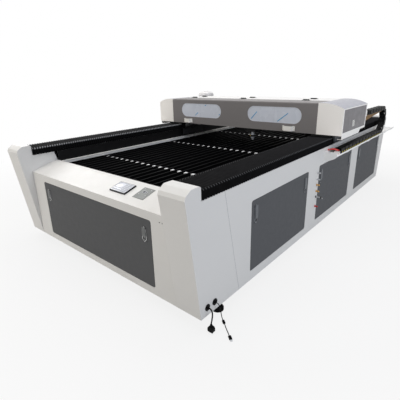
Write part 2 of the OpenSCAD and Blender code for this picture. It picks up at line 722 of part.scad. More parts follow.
// ---- Laser head ----
head_y = span_y0 - 130;
head_w = 107;
module head_carriage() on_gantry() translate([head_x, 0, 0]) color(silver) {
    translate([0, span_y0, x_rail_z]) across(110, -55) rotate(90) difference() {
        translate([-35, 4]) square([70, 38]);
        polygon(guide(0.3));
    }
    block([-60, span_y0 - 50, span_z0 - 90], [60, span_y0 - 42, x_rail_z + 45]);
    difference() {
        block([-head_w / 2, head_y - 38, span_z0 - 90], [head_w / 2, span_y0 - 50, span_z0 - 10]);
        translate([0, head_y, span_z0 - 100]) cylinder(r = focus_d / 2 + 0.05, h = 120);
    }
    across(48, -24) polygon([
        [head_y - 24, span_z0 + 15], [span_y0 - 50, span_z0 + 15], [span_y0 - 50, span_z0 + 65],
        [head_y + 2, span_z0 + 65], [head_y - 24, span_z0 + 39],
    ]);
}

module focus_tube() on_gantry() translate([head_x, head_y, nozzle_z]) color(silver) rotate_extrude() polygon([
    [4, 0], [6, 0], [20, 26], [focus_d / 2 + 6, 28], [focus_d / 2 + 6, 58], [focus_d / 2, 58],
    [focus_d / 2, span_z0 - nozzle_z], [12, span_z0 - nozzle_z], [12, 40], [4, 14],
]);

// ---- Flip-up covers ----
hinge_xs = [-760, -68, 635];
hinge_z = gantry_z1 + 6;
module cover_hinges() on_gantry() color(black) for (x = hinge_xs) {
    rod_x([x - 30, hinge_front, hinge_z], 5, 60);
    block([x - 30, hinge_front, gantry_z1], [x + 30, hinge_front + 20, gantry_z1 + 3]);
    rod_x([x - 30, hinge_rear, hinge_z], 5, 60);
    block([x - 30, hinge_rear - 20, gantry_z1], [x + 30, hinge_rear, gantry_z1 + 3]);
}

window_x = 443;
window_z = gantry_z0 + 146.5;
cover_half = cover_x - 1;
module cover_shell(depth) {
    across(2 * cover_half, -cover_half) polygon(bent([
        [18, gantry_z0], [0, gantry_z0], [0, gantry_z1 - 10], [3, gantry_z1 - 3], [10, gantry_z1],
        [depth - 0.5, gantry_z1],
    ], -sheet));
    for (x = [-cover_half, cover_half - sheet]) across(sheet, x)
        polygon(bent([[0, gantry_z0], [0, gantry_z1], [depth - 0.5, gantry_z1]], -14));
}
module front_cover() on_gantry() color([0.42, 0.41, 0.40]) difference() {
    intersection() {
        cover_shell(front_cover_d);
        across(2 * cover_half, -cover_half) polygon([
            [-1, gantry_z0 - 1], [-1, gantry_z0], [0, gantry_z0], [0, gantry_z1 - 10], [3, gantry_z1 - 3],
            [10, gantry_z1], [front_cover_d, gantry_z1], [front_cover_d, gantry_z0 - 1],
        ]);
    }
    for (s = [-1, 1]) translate([s * window_x, sheet + 1, window_z]) rotate([90, 0, 0])
        linear_extrude(sheet + 2) stadium(window_w, window_h);
}

module cover_windows() on_gantry() color([0.70, 0.72, 0.80]) for (s = [-1, 1])
    translate([s * window_x, 2 * sheet, window_z]) rotate([90, 0, 0])
        linear_extrude(sheet) stadium(window_w + 24, window_h + 24);

handle_xs = [-626, 607];
handle_z = [gantry_z0 + 11, gantry_z0 + 54];
module cover_handles() on_gantry() color(silver) for (x = handle_xs)
    translate([x, 0, handle_z[0]]) linear_extrude(handle_z[1] - handle_z[0]) polygon(bent([
        [-60, 0], [-44, 0], [-34, -27], [34, -27], [44, 0], [60, 0],
    ], -3));

module rear_cover() on_gantry() color(paint) translate([0, gantry_d, 0]) mirror([0, 1, 0])
    cover_shell(rear_cover_d);

module end_panel() color(door_grey) {
    lo = [panel_y[0] + 2, panel_z[0] + 2];
    size = [panel_y[1] - panel_y[0] - 4, panel_z[1] - panel_z[0] - 2.5];
    across(sheet, gx - sheet) rounded(lo, size, 5);
    across(12, gx - 12) rim(lo, size, 5, sheet);
    rod_x([gx, 275, panel_z[0] + 70], 7, 9);
    block([gx + 4, 267, panel_z[0] + 34], [gx + 9, 283, panel_z[0] + 72]);
}
module end_panel_right() on_gantry() end_panel();
module end_panel_left() on_gantry() mirror([1, 0, 0]) end_panel();

fan_at = [96 - gx, 110];
fan_r = 100;
module fume_fan() on_gantry() color(silver) {
    translate([fan_at[0], gantry_d + fan_at[1], gantry_z1 - 124]) rotate_extrude() polygon([
        [0, 0], [70, 0], [fan_r, 20], [fan_r, 130], [fan_r - 6, 154], [fan_r - 30, 171], [0, 178],
    ]);
    block([fan_at[0] - 45, gantry_d, gantry_z1 - 90], [fan_at[0] + 45, gantry_d + fan_at[1], gantry_z1 - 30]);
}

// ---- Doors and latches ----
// A latch hangs from [0, 0] on the door's face: a bezel and a lock on the door, and a lever that
// lies inside the bezel and turns out about its top end.
latch_w = 30;
latch_in = 50;
lock_h = 30;
module latch_bezel(h) {
    along(-2, 2.5) rim([-latch_w / 2 - 5, -h - 3], [latch_w + 10, h + 8], 6, 4);
    rod_y([0, -5, 14 - h], 8, 5.5);
}
module latch(h) color(black) {
    tip = lock_h - h;
    rod_x([-latch_w / 2, -3.3, -3], 3, latch_w);
    across(latch_w, -latch_w / 2) polygon([
        [-0.3, -3], [-0.3, tip + 4], [-3, tip], [-5, tip], [-7.5, tip + 14], [-6.3, -3],
    ]);
}

front_latch_h = 90;
side_latch_h = 115;
module at_front_latches() for (s = [-1, 1])
    translate([s * (front_door_w / 2 - latch_in - 11), 0, front_sill_z + front_door_h - 55]) children();
module at_side_latches(i) for (y = [latch_in, side_door_w - latch_in])
    translate([half_w, side_lo(i)[0] + y, side_sill_z + side_door_h - 39]) rotate(90) children();

module front_door() from_front() color(door_grey) {
    along(0, sheet) rounded(front_lo, front_size, door_r);
    along(0, door_d) rim(front_lo, front_size, door_r, sheet);
    at_front_latches() latch_bezel(front_latch_h);
}
module side_door(i) from_front() color(door_grey) {
    across(sheet, half_w - sheet) rounded(side_lo(i), side_size, door_r);
    across(door_d, half_w - door_d) rim(side_lo(i), side_size, door_r, sheet);
    at_side_latches(i) latch_bezel(side_latch_h);
}
module right_door_1() side_door(0);
module right_door_2() side_door(1);
module right_door_3() side_door(2);

module front_door_latches() from_front() at_front_latches() latch(front_latch_h);
module side_latches(i) from_front() at_side_latches(i) latch(side_latch_h);
module right_door_1_latches() side_latches(0);
module right_door_2_latches() side_latches(1);
module right_door_3_latches() side_latches(2);

// ---- Bellows over the guides ----
module bellows(y0, y1) color(black) both_sides() along(y0, y1 - y0) polygon(bent([
    [bellows_x0, deck_z + 0.3], [bellows_x0, bellows_z], [bellows_x1, bellows_z], [bellows_x1, deck_z + 0.3],
], -3));
module bellows_front() from_front() bellows(ear_y + 0.3, gantry_y + frame_front - 0.3);
module bellows_rear() from_front() bellows(gantry_y + frame_rear + 0.3, body_l - ear_y - 0.3);

// ---- Red hoses that cross the tray into the chain's open end ----
hose_path = [
    [1000.3, 1692, 739], [1008, 1692, 739], [1018, 1692, 743], [1029, 1693, 746], [1040, 1697, 747],
    [1048, 1703, 744], [1053, 1710, 740], [1056, 1717, 736], [1057, 1724, 733],
];
hose_2_path = [
    [1000.3, 1676, 739], [1008, 1676, 739], [1020, 1676, 744], [1033, 1678, 747], [1046, 1683, 748],
    [1057, 1691, 746], [1065, 1700, 742], [1071, 1709, 737], [1075, 1717, 734], [1076, 1724, 733],
];
hose_d = 12;
module red_hoses() from_front() color(red) {
    tube_along(hose_path, hose_d / 2);
    tube_along(hose_2_path, hose_d / 2);
}

frame();
leveling_feet();
front_panel();
control_desk();
front_corners();
rear_corners();
side_panel_right();
side_panel_left();
rear_panel();
chain_tray();
keypad();
socket_plate();
well_walls();
bed_crossbars();
bed_slats();
edge_rails();
dust_hopper();
exhaust_spigots();
y_rails();
power_supplies();
hose_fittings();
cord_grommets();
power_cord();
power_plug();
usb_cord();
usb_plug();
red_hoses();
gantry_beam();
gantry_plates();
y_carriages();
housing_spine();
end_cap_left();
end_cap_right();
laser_tube();
tube_clamps();
x_rail();
cover_hinges();
front_cover();
cover_windows();
cover_handles();
rear_cover();
fume_fan();
end_panel_right();
end_panel_left();
front_door();
right_door_1();
right_door_2();
right_door_3();
front_door_latches();
right_door_1_latches();
right_door_2_latches();
right_door_3_latches();
bellows_front();
bellows_rear();
chain_lower();
chain_bend_lower();
chain_bend_upper();
chain_upper();
head_carriage();
focus_tube();
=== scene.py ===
import bpy, bmesh
from math import atan2, copysign, cos, pi, radians, sin
from mathutils import Matrix, Vector


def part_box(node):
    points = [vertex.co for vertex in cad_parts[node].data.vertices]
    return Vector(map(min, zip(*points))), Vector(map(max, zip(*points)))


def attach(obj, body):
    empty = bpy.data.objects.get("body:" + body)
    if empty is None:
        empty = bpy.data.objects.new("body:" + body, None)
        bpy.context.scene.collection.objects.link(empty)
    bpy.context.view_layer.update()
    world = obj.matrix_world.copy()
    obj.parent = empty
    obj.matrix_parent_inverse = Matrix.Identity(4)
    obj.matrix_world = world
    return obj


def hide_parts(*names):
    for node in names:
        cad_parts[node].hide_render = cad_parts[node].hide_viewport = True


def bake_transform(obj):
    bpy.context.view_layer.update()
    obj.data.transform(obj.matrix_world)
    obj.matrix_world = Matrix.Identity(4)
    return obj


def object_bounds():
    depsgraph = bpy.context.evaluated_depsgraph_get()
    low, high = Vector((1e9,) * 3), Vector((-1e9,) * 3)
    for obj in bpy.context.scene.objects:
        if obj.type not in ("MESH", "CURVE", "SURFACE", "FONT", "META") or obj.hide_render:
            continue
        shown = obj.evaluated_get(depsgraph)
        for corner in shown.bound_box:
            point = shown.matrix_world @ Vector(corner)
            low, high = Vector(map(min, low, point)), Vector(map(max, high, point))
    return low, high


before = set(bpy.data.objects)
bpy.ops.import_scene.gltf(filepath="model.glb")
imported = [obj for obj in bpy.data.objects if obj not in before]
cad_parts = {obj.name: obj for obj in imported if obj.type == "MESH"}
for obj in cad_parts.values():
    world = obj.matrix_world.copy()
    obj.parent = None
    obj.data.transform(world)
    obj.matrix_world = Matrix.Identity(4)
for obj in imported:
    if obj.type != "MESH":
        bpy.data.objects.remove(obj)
CAD_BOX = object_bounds()

bl_info = {
    "name": "Flat-bed laser cutter",
    "version": (1, 0, 0),
    "blender": (4, 5, 0),
    "location": "3D View > Sidebar > Cutter",
    "description": "Details and finishes for a flat-bed laser cutter with a travelling gantry",
    "category": "Object",
}

LEFT, RIGHT = -1, 1
UP, FRONT, RIGHTWARDS, BACK, LEFTWARDS = None, 0, 90, 180, -90

# The body's faces, the lower edge of its covers, and the step from one side bay to the next.
FRONT_Y, BACK_Y, SIDE_X, SKIRT_Z = -1.76, 1.76, 1.0, 0.08
BAY_PITCH = 1.035
# Edges that turn by more than this are shaded sharp.
SHARP_FROM = radians(32)


# ---------------------------------------------------------------- materials

def shade(red, green, blue):
    """A colour given from 0 to 255, as a shader takes it."""
    return tuple(((c / 255 + 0.055) / 1.055) ** 2.4 if c > 10 else c / 3294
                 for c in (red, green, blue))


DUST = shade(176, 171, 161)


def combine(tree, operation, first, second, clamp=False):
    """The sum or the product of two sockets."""
    node = tree.nodes.new("ShaderNodeMath")
    node.operation = operation
    node.use_clamp = clamp
    tree.links.new(first, node.inputs[0])
    tree.links.new(second, node.inputs[1])
    return node.outputs[0]


class Finish:
    """A node material, put together one layer at a time over Object coordinates."""

    def __init__(self, name, colour, roughness, metallic=0.0, alpha=1.0, specular=0.5):
        self.material = bpy.data.materials.new(name)
        self.material.use_nodes = True
        self.tree = self.material.node_tree
        self.shader = self.tree.nodes["Principled BSDF"]
        for socket, value in (("Metallic", metallic), ("Roughness", roughness), ("Alpha", alpha),
                              ("Specular IOR Level", specular), ("Base Color", (*colour, 1))):
            self.shader.inputs[socket].default_value = value
        self.place = self.add("ShaderNodeTexCoord").outputs["Object"]
        self.base = colour
        self.colour = None
        self.normal = None

    def add(self, kind, **sockets):
        node = self.tree.nodes.new(kind)
        for name, value in sockets.items():
            socket = node.inputs[name.replace("_", " ")]
            if isinstance(value, bpy.types.NodeSocket):
                self.tree.links.new(value, socket)
            else:
                socket.default_value = value
        return node

    def noise(self, scale, detail=3.0, across=None):
        """Smooth noise, drawn out along an axis where the scale across it is small."""
        place = self.place
        if across:
            place = self.add("ShaderNodeMapping", Vector=place, Scale=across).outputs[0]
        noise = self.add("ShaderNodeTexNoise", Vector=place, Scale=scale, Detail=detail)
        return noise.outputs["Fac"]

    def band(self, value, low, high, to_low, to_high):
        """Maps a value from one range to another."""
        return self.add("ShaderNodeMapRange", Value=value, From_Min=low, From_Max=high,
                        To_Min=to_low, To_Max=to_high).outputs["Result"]

    def tint(self, amount, colour):
        """Lays a second colour over the first by the amount, a socket from 0 to 1."""
        mix = self.tree.nodes.new("ShaderNodeMix")
        mix.data_type = "RGBA"
        self.tree.links.new(amount, mix.inputs["Factor"])
        if self.colour is None:
            mix.inputs[6].default_value = (*self.base, 1)
        else:
            self.tree.links.new(self.colour, mix.inputs[6])
        mix.inputs[7].default_value = (*colour, 1)
        self.colour = mix.outputs[2]
        self.tree.links.new(self.colour, self.shader.inputs["Base Color"])
        return self

    def mottle(self, scale, strength, colour=None, across=None):
        """Slow variation of the colour, as on paint and cast metal."""
        colour = colour or tuple(c * 0.8 for c in self.base)
        clouds = self.band(self.noise(scale, across=across), 0.35, 0.7, 0.0, strength)
        return self.tint(clouds, colour)

    def gloss(self, scale, low, high, across=None):
        """Roughness that wanders between two values."""
        self.tree.links.new(self.band(self.noise(scale, across=across), 0.3, 0.7, low, high),
                            self.shader.inputs["Roughness"])
        return self

    def grain(self, scale, strength, distance=0.0004, across=None):
        """Fine relief: orange peel, weave or brush marks."""
        sockets = {"Height": self.noise(scale, 2.0, across), "Strength": strength,
                   "Distance": distance}
        if self.normal is not None:
            sockets["Normal"] = self.normal
        self.normal = self.add("ShaderNodeBump", **sockets).outputs["Normal"]
        self.tree.links.new(self.normal, self.shader.inputs["Normal"])
        return self

    def facing_up(self, low, high, most=1.0):
        """Grows from nothing to the most as a face turns to look up."""
        normal = self.add("ShaderNodeNewGeometry").outputs["Normal"]
        facing = self.add("ShaderNodeSeparateXYZ", Vector=normal)
        return self.band(facing.outputs["Z"], low, high, 0.0, most)

    def dust(self, amount):
        """Dust that lies in patches on faces that look up."""
        patches = self.band(self.noise(9, 5.0), 0.4, 0.75, 0.0, amount)
        dusty = combine(self.tree, "MULTIPLY", self.facing_up(0.4, 1.0), patches)
        return self.tint(dusty, DUST)

    def film_and_top_shade(self, low, high, amount, colour):
        """Painted shade: a cool colour laid over the faces that look up, darker than the coat
        beneath.
        """
        return self.tint(self.facing_up(low, high, amount), colour)


def coat(name, colour, soil=0.10, sheen=(0.38, 0.52), specular=0.35):
    """Powder coat: fine orange peel, faint cloudiness and a little settled dust."""
    made = Finish(name, colour, 0.45, specular=specular)
    made.mottle(2.5, 0.12, tuple(c * 0.93 for c in colour)).dust(soil)
    return made.gloss(30, *sheen).grain(600, 0.15)


def metal(name, colour, low, high, brushed=None, metallic=0.85):
    """Bare metal, with its brush marks drawn out along one direction."""
    made = Finish(name, colour, (low + high) / 2, metallic)
    made.mottle(18, 0.35, tuple(c * 0.75 for c in colour), brushed).gloss(45, low, high, brushed)
    return made.grain(260, 0.15, across=brushed)


def moulding(name, colour, low=0.4, high=0.6, specular=0.25):
    """Moulded plastic or rubber."""
    made = Finish(name, colour, (low + high) / 2, specular=specular)
    return made.mottle(60, 0.4, tuple(c * 0.7 for c in colour)).gloss(70, low, high).grain(800, 0.2)


def finish_nodes(finish, *nodes):
    """Gives nodes of the frame one material."""
    for node in nodes:
        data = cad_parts[node].data
        data.materials.clear()
        data.materials.append(finish.material)


# ---------------------------------------------------------------- shapes

def lowest(node):
    return Vector(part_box(node)[0])


def highest(node):
    return Vector(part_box(node)[1])


def shift(x=0.0, y=0.0, z=0.0):
    return Matrix.Translation((x, y, z))


def place(x, y, z, facing=UP, lean=0.0):
    """Stands a part at a point. On a wall its X runs along the wall, its Y up and its Z out."""
    turn = Matrix.Rotation(lean, 4, "X")
    if facing is not UP:
        turn = Matrix.Rotation(radians(facing), 4, "Z") @ Matrix.Rotation(pi / 2, 4, "X")
    return shift(x, y, z) @ turn


def bar(low, high, edge=0.0):
    """A block between two corners, with its edges eased."""
    part = bmesh.new()
    low, high = Vector(low), Vector(high)
    middle = shift(*(low + high) / 2)
    bmesh.ops.create_cube(part, size=1, matrix=middle @ Matrix.Diagonal((*(high - low), 1)))
    if edge:
        bmesh.ops.bevel(part, geom=list(part.edges), offset=edge, segments=2, profile=0.5,
                        affect="EDGES", material=-1)
    return part


def peg(radius, length, sides=20):
    """A round or many-sided peg that stands on the ground."""
    part = bmesh.new()
    bmesh.ops.create_cone(part, cap_ends=True, segments=sides, radius1=radius, radius2=radius,
                          depth=length, matrix=shift(z=length / 2))
    return part


def turned(outline, steps=32):
    """A lathe-turned shape from (radius, height) pairs."""
    part = bmesh.new()
    verts = [part.verts.new((radius, 0, height)) for radius, height in outline]
    edges = [part.edges.new(pair) for pair in zip(verts, verts[1:])]
    bmesh.ops.spin(part, geom=verts + edges, cent=(0, 0, 0), axis=(0, 0, 1), angle=2 * pi,
                   steps=steps, use_merge=True)
    bmesh.ops.remove_doubles(part, verts=part.verts, dist=0.000001)
    return part


def ring(inner, outer, length, low=0.0, steps=32):
    """An upright tube that starts at a height."""
    high = low + length
    return turned([(inner, low), (outer, low), (outer, high), (inner, high), (inner, low)], steps)


def thicken(part, thickness):
    """Turns faces of no thickness into sheet."""
    bmesh.ops.recalc_face_normals(part, faces=part.faces)
    bmesh.ops.solidify(part, geom=list(part.faces), thickness=thickness)


def lay(mesh, part, where):
    """Lays a part into a mesh at a place."""
    bmesh.ops.recalc_face_normals(part, faces=part.faces)
    bmesh.ops.transform(part, matrix=where, verts=part.verts)
    laid = bpy.data.meshes.new("part")
    part.to_mesh(laid)
    part.free()
    mesh.from_mesh(laid)
    bpy.data.meshes.remove(laid)


def piece(name, mesh, finish, body, *stands_for):
    """Turns a bmesh into a finished piece that rides on a body."""
    name = name.replace(" ", "_")
    data = bpy.data.meshes.new(name)
    mesh.to_mesh(data)
    mesh.free()
    data.polygons.foreach_set("use_smooth", [True] * len(data.polygons))
    data.set_sharp_from_angle(angle=SHARP_FROM)
    data.materials.append(finish.material)
    made = bpy.data.objects.new(name, data)
    bpy.context.scene.collection.objects.link(made)
    if body:
        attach(made, body)
    if stands_for:
        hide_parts(*stands_for)
    return made


def pattern(name, finish, body, parts, *stands_for):
    """One piece made of several (part, place) pairs."""
    mesh = bmesh.new()
    for part, where in parts:
        lay(mesh, part, where)
    return piece(name, mesh, finish, body, *stands_for)


# ---------------------------------------------------------------- sizes and colours

class CutterSizes(bpy.types.PropertyGroup):
    """Sizes of the pieces that are added to the frame."""
    pleat: bpy.props.FloatProperty(
        name="Pleat", description="Distance from one pleat of the bellows to the next",
        default=0.0215, unit="LENGTH")
    pleat_depth: bpy.props.FloatProperty(
        name="Pleat depth", description="Depth of a bellows pleat", default=0.012, unit="LENGTH")
    seam: bpy.props.FloatProperty(
        name="Seam", description="Width of the dark joints between the sheet metal covers",
        default=0.0015, unit="LENGTH")
    latch_rim: bpy.props.FloatProperty(
        name="Latch rim", description="Width of the bright rim round each door latch",
        default=0.0036, unit="LENGTH")


class CutterColours(bpy.types.PropertyGroup):
    """Colours of the main finishes."""
    body: bpy.props.FloatVectorProperty(
        name="Body", description="Powder coat of the body", subtype="COLOR",
        default=shade(216, 215, 213))
    doors: bpy.props.FloatVectorProperty(
        name="Doors", description="Powder coat of the doors", subtype="COLOR",
        default=shade(91, 92, 94))
    cover: bpy.props.FloatVectorProperty(
        name="Front cover", description="Powder coat of the gantry's front", subtype="COLOR",
        default=shade(122, 119, 119))


# ---------------------------------------------------------------- operators

class Part:
    """What the operators share: each builds one part of the scene."""

    def execute(self, context):
        self.build(context.scene)
        return {"FINISHED"}


class CUTTER_OT_camera(Part, bpy.types.Operator):
    """Stand the camera where a visitor would, to the right of the operator's end"""
    bl_idname = "cutter.camera"
    bl_label = "Camera"

    def build(self, scene):
        data = bpy.data.cameras.new("view")
        data.sensor_width = 36
        data.lens = 30.0
        data.shift_y = -0.0217
        data.clip_end = 100
        camera = bpy.data.objects.new("view", data)
        scene.collection.objects.link(camera)
        heading, dip, roll = 0.7131, 0.3271, -0.024
        turn = Matrix.Rotation(heading, 4, "Z") @ Matrix.Rotation(pi / 2 - dip, 4, "X")
        camera.matrix_world = shift(1.9865, -2.8845, 1.3338) @ turn @ Matrix.Rotation(roll, 4, "Z")
        scene.camera = camera


def route(name, points, thickness, finish):
    """A round cord on a smooth curve that follows the points, which are in metres."""
    data = bpy.data.curves.new(name, "CURVE")
    data.dimensions = "3D"
    data.bevel_depth = thickness / 2
    data.bevel_resolution = 4
    data.resolution_u = 4
    spline = data.splines.new("NURBS")
    spline.points.add(len(points) - 1)
    for point, spot in zip(spline.points, points):
        point.co = (*spot, 1)
    spline.use_endpoint_u = True
    spline.order_u = 3
    made = bpy.data.objects.new(name, data)
    bpy.context.scene.collection.objects.link(made)
    data.materials.append(finish.material)
    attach(made, "base")
    return made


def from_front(points):
    """Points in millimetres, with Y from the front panel, as points in metres."""
    return [Vector((x, y + 1000 * FRONT_Y, z)) / 1000 for x, y, z in points]


class CUTTER_OT_cords(Part, bpy.types.Operator):
    """Lead the two cords out of the front corner, and the red hoses into the cable chain"""
    bl_idname = "cutter.cords"
    bl_label = "Cords"

    def build(self, scene):
        sheath = moulding("cord sheath", shade(9, 9, 10), 0.45, 0.7, 0.06)
        power = from_front([
            (1012, 55, 134), (1017, 55, 134), (1026, 54, 132), (1033, 53, 127), (1038, 51, 119),
            (1041, 48, 109), (1043, 44, 98), (1044, 40, 87), (1045, 36, 77), (1045, 33, 70),
            (1045, 31, 64), (1045, 31, 58),
        ])
        cord = route("power_lead", power, 0.008, sheath)
        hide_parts("power_cord")
        signal = from_front([
            (1012, 120, 134), (1017, 120, 134), (1024, 121, 131), (1029, 122, 124),
            (1031, 124, 114), (1032, 127, 102), (1032, 131, 89), (1031, 135, 76), (1029, 140, 63),
            (1027, 145, 50), (1025, 150, 37), (1023, 154, 27), (1022, 157, 18), (1025, 157, 11),
            (1032, 152, 8), (1040, 146, 8), (1050, 139, 8), (1060, 131, 8), (1068, 125, 7),
            (1076, 119, 5), (1084, 113, 3), (1092, 107, 3), (1100, 101, 3), (1108, 95, 3),
            (1116, 89, 3), (1122, 84, 4), (1130, 78, 5), (1138, 72, 5),
        ])
        cord = route("signal_lead", signal, 0.005, sheath)
        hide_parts("usb_cord")
        rubber = Finish("red hose", shade(205, 52, 50), 0.35)
        rubber.mottle(50, 0.4, shade(160, 34, 34)).gloss(80, 0.28, 0.45).grain(500, 0.1)
        for name, line in (("first_hose", [
            (1000.3, 1692, 739), (1008, 1692, 739), (1018, 1692, 743), (1029, 1693, 746),
            (1040, 1697, 747), (1048, 1703, 744), (1053, 1710, 740), (1056, 1717, 736),
            (1057, 1724, 733),
        ]), ("second_hose", [
            (1000.3, 1676, 739), (1008, 1676, 739), (1020, 1676, 744), (1033, 1678, 747),
            (1046, 1683, 748), (1057, 1691, 746), (1065, 1700, 742), (1071, 1709, 737),
            (1075, 1717, 734), (1076, 1724, 733),
        ])):
            line = from_front(line)
            hose = route(name, line, 0.012, rubber)
            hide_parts("red_hoses")
        black = moulding("plug body", shade(8, 8, 9), 0.4, 0.6, 0.06)
        finish_nodes(black, "power_plug", "usb_plug", "cord_grommets")
        shell = metal("plug shell", shade(196, 198, 202), 0.25, 0.4)
        tip = shift(1.138, -1.688, 0.005) @ Matrix.Rotation(-atan2(3, 4), 4, "Z")
        pattern("signal plug shell", shell, "base", [
            (bar((0.0262, -0.0062, -0.0024), (0.0402, 0.0062, 0.0024), 0.0006), tip)])
        pattern("power plug pins", shell, "base", [
            (bar((x - 0.0012, -0.0032, -0.0014), (x + 0.0012, 0.0032, 0.012), 0.0006),
             shift(1.045, -1.729, 0.002)) for x in (-0.008, 0.008)])


def hood(width, height, depth):
    """A louvre's hood, pressed out of the sheet and open below."""
    part = bar((0, 0, 0), (width, height, depth))
    outer = [edge for edge in part.edges if all(vert.co.z > depth / 2 for vert in edge.verts)
             and any(vert.co.y > height / 2 for vert in edge.verts)]
    bmesh.ops.bevel(part, geom=outer, offset=depth * 0.8, segments=3, profile=0.5,
                    affect="EDGES", material=-1)
    part.normal_update()
    open_sides = [face for face in part.faces if face.normal.y < -0.9 or face.normal.z < -0.9]
    bmesh.ops.delete(part, geom=open_sides, context="FACES")
    thicken(part, 0.0008)
    return part


def screw(radius):
    """A pan head screw."""
    return turned([(0, radius * 0.7), (radius * 0.55, radius * 0.62), (radius, radius * 0.25),
                   (radius, 0), (0, 0)], 12)


class CUTTER_OT_cabinet(Part, bpy.types.Operator):
    """Coat the cabinet's sheet metal, and mark the joints between its covers"""
    bl_idname = "cutter.cabinet"
    bl_label = "Cabinet"

    def build(self, scene):
        body = coat("body coat", tuple(scene.cutter_colours.body))
        finish_nodes(body, "front_panel", "front_corners", "rear_corners", "side_panel_right",
                     "side_panel_left", "rear_panel", "control_desk")
        # The chain tray: the body's white made brighter, painted light.
        finish_nodes(coat("tray coat", shade(248, 247, 245)), "chain_tray")
        inside = coat("frame coat", shade(56, 57, 59), 0.08)
        finish_nodes(inside, "frame", "dust_hopper")
        rubber = moulding("foot rubber", shade(9, 9, 9), 0.6, 0.8, 0.05)
        finish_nodes(rubber, "leveling_feet")
        shadow = moulding("joint shadow", shade(146, 148, 152), 0.6, 0.7)
        half = scene.cutter_sizes.seam / 2
        height, slant, nose = 0.688, 0.704, 0.149
        joints = []
        for side, facing in ((RIGHT, RIGHTWARDS), (LEFT, LEFTWARDS)):
            lean = Matrix.Rotation(side * atan2(nose, height), 4, "Z")
            joints += [(bar((-half, 0, 0), (half, length, 0.0003)), where) for length, where in (
                (slant, place(side * SIDE_X, -1.395, SKIRT_Z, facing) @ lean),
                (height, place(side * SIDE_X, 1.642, SKIRT_Z, facing)),
                (height, place(side * 0.817, BACK_Y, SKIRT_Z, BACK)))]
        pattern("cover joints", shadow, "base", joints)
        dark = metal("dark studs", shade(70, 70, 72), 0.3, 0.45)
        pattern("panel studs", dark, "base", [
            (peg(0.003, 0.002, sides=12), place(x, FRONT_Y, 0.587, FRONT)) for x in (0.714, 0.737)])
        pattern("louvre hoods", body, "base", [
            (hood(0.184, 0.013, 0.006),
             place(-SIDE_X, -0.888 + BAY_PITCH * i, 0.239 + 0.024 * k, LEFTWARDS))
            for i in range(3) for k in range(8)])
        zinc = metal("zinc plate", shade(178, 180, 183), 0.35, 0.55)
        finish_nodes(zinc, "exhaust_spigots")
        circle = 0.087
        pattern("spigot screws", zinc, "base", [
            (screw(0.004),
             place(x + circle * cos(pi * k / 3), 1.763, 0.36 + circle * sin(pi * k / 3), BACK))
            for x in (-0.35, 0.35) for k in range(6)])
        feet = [(0.945, -1.542), (0.86, -0.3425), (0.86, 0.6925), (0.86, 1.662)]
        pattern("foot nuts", zinc, "base", [
            (peg(0.014, 0.008, sides=6), place(side * x, y, 0.052))
            for side in (LEFT, RIGHT) for x, y in feet])


class CUTTER_OT_supplies(Part, bpy.types.Operator):
    """Give the two power supplies behind the front door their fan guards and terminals"""
    bl_idname = "cutter.supplies"
    bl_label = "Power supplies"

    def build(self, scene):
        case = metal("supply case", shade(150, 152, 156), 0.4, 0.6)
        finish_nodes(case, "power_supplies")
        black = moulding("terminal black", shade(20, 20, 21))
        wire = metal("guard wire", shade(190, 192, 196), 0.25, 0.4)
        guards, blocks, screws = [], [], []
        for x, z in ((-0.725, 0.245), (0.725, 0.221)):
            at = place(x, -1.66, z, FRONT)
            blocks.append((turned([(0, 0), (0.044, 0), (0.044, 0.001), (0, 0.001)]), at))
            for radius in (0.016, 0.025, 0.034, 0.043):
                wire_round = [(radius - 0.001, 0.002), (radius, 0.003), (radius + 0.001, 0.002),
                              (radius, 0.001), (radius - 0.001, 0.002)]
                guards.append((turned(wire_round), at))
            for k in range(4):
                spoke = Matrix.Rotation(pi * k / 2 + pi / 4, 4, "Z")
                guards.append((bar((0, -0.001, 0.001), (0.05, 0.001, 0.003)), at @ spoke))
                screws.append((screw(0.0035), at @ spoke @ shift(0.05)))
        y = -1.6
        for x, z in ((-0.78, 0.336), (0.67, 0.296)):
            blocks.append((bar((x, y, z), (x + 0.11, y + 0.024, z + 0.014), 0.001), Matrix()))
            screws += [(screw(0.003), place(x + 0.011 + 0.022 * k, y + 0.012, z + 0.014))
                       for k in range(5)]
        pattern("fan guards", wire, "base", guards)
        pattern("terminals", black, "base", blocks)
        pattern("terminal screws", wire, "base", screws)


def surround(width, height, thick, rim, corner, segments=4):
    """A flat rim with round or, with one segment, slanted corners."""
    part = bmesh.new()
    bmesh.ops.create_grid(part, x_segments=1, y_segments=1, size=0.5)
    bmesh.ops.scale(part, verts=part.verts, vec=(width, height, 1))
    bmesh.ops.bevel(part, geom=list(part.verts), offset=corner, segments=segments, profile=0.5,
                    affect="VERTICES", material=-1)
    inner = list(part.faces)
    bmesh.ops.inset_region(part, faces=inner, thickness=rim, use_boundary=True,
                           use_even_offset=True)
    bmesh.ops.delete(part, geom=inner, context="FACES")
    thicken(part, thick)
    low = min(vert.co.z for vert in part.verts)
    bmesh.ops.translate(part, verts=part.verts, vec=(0, 0, -low))
    return part


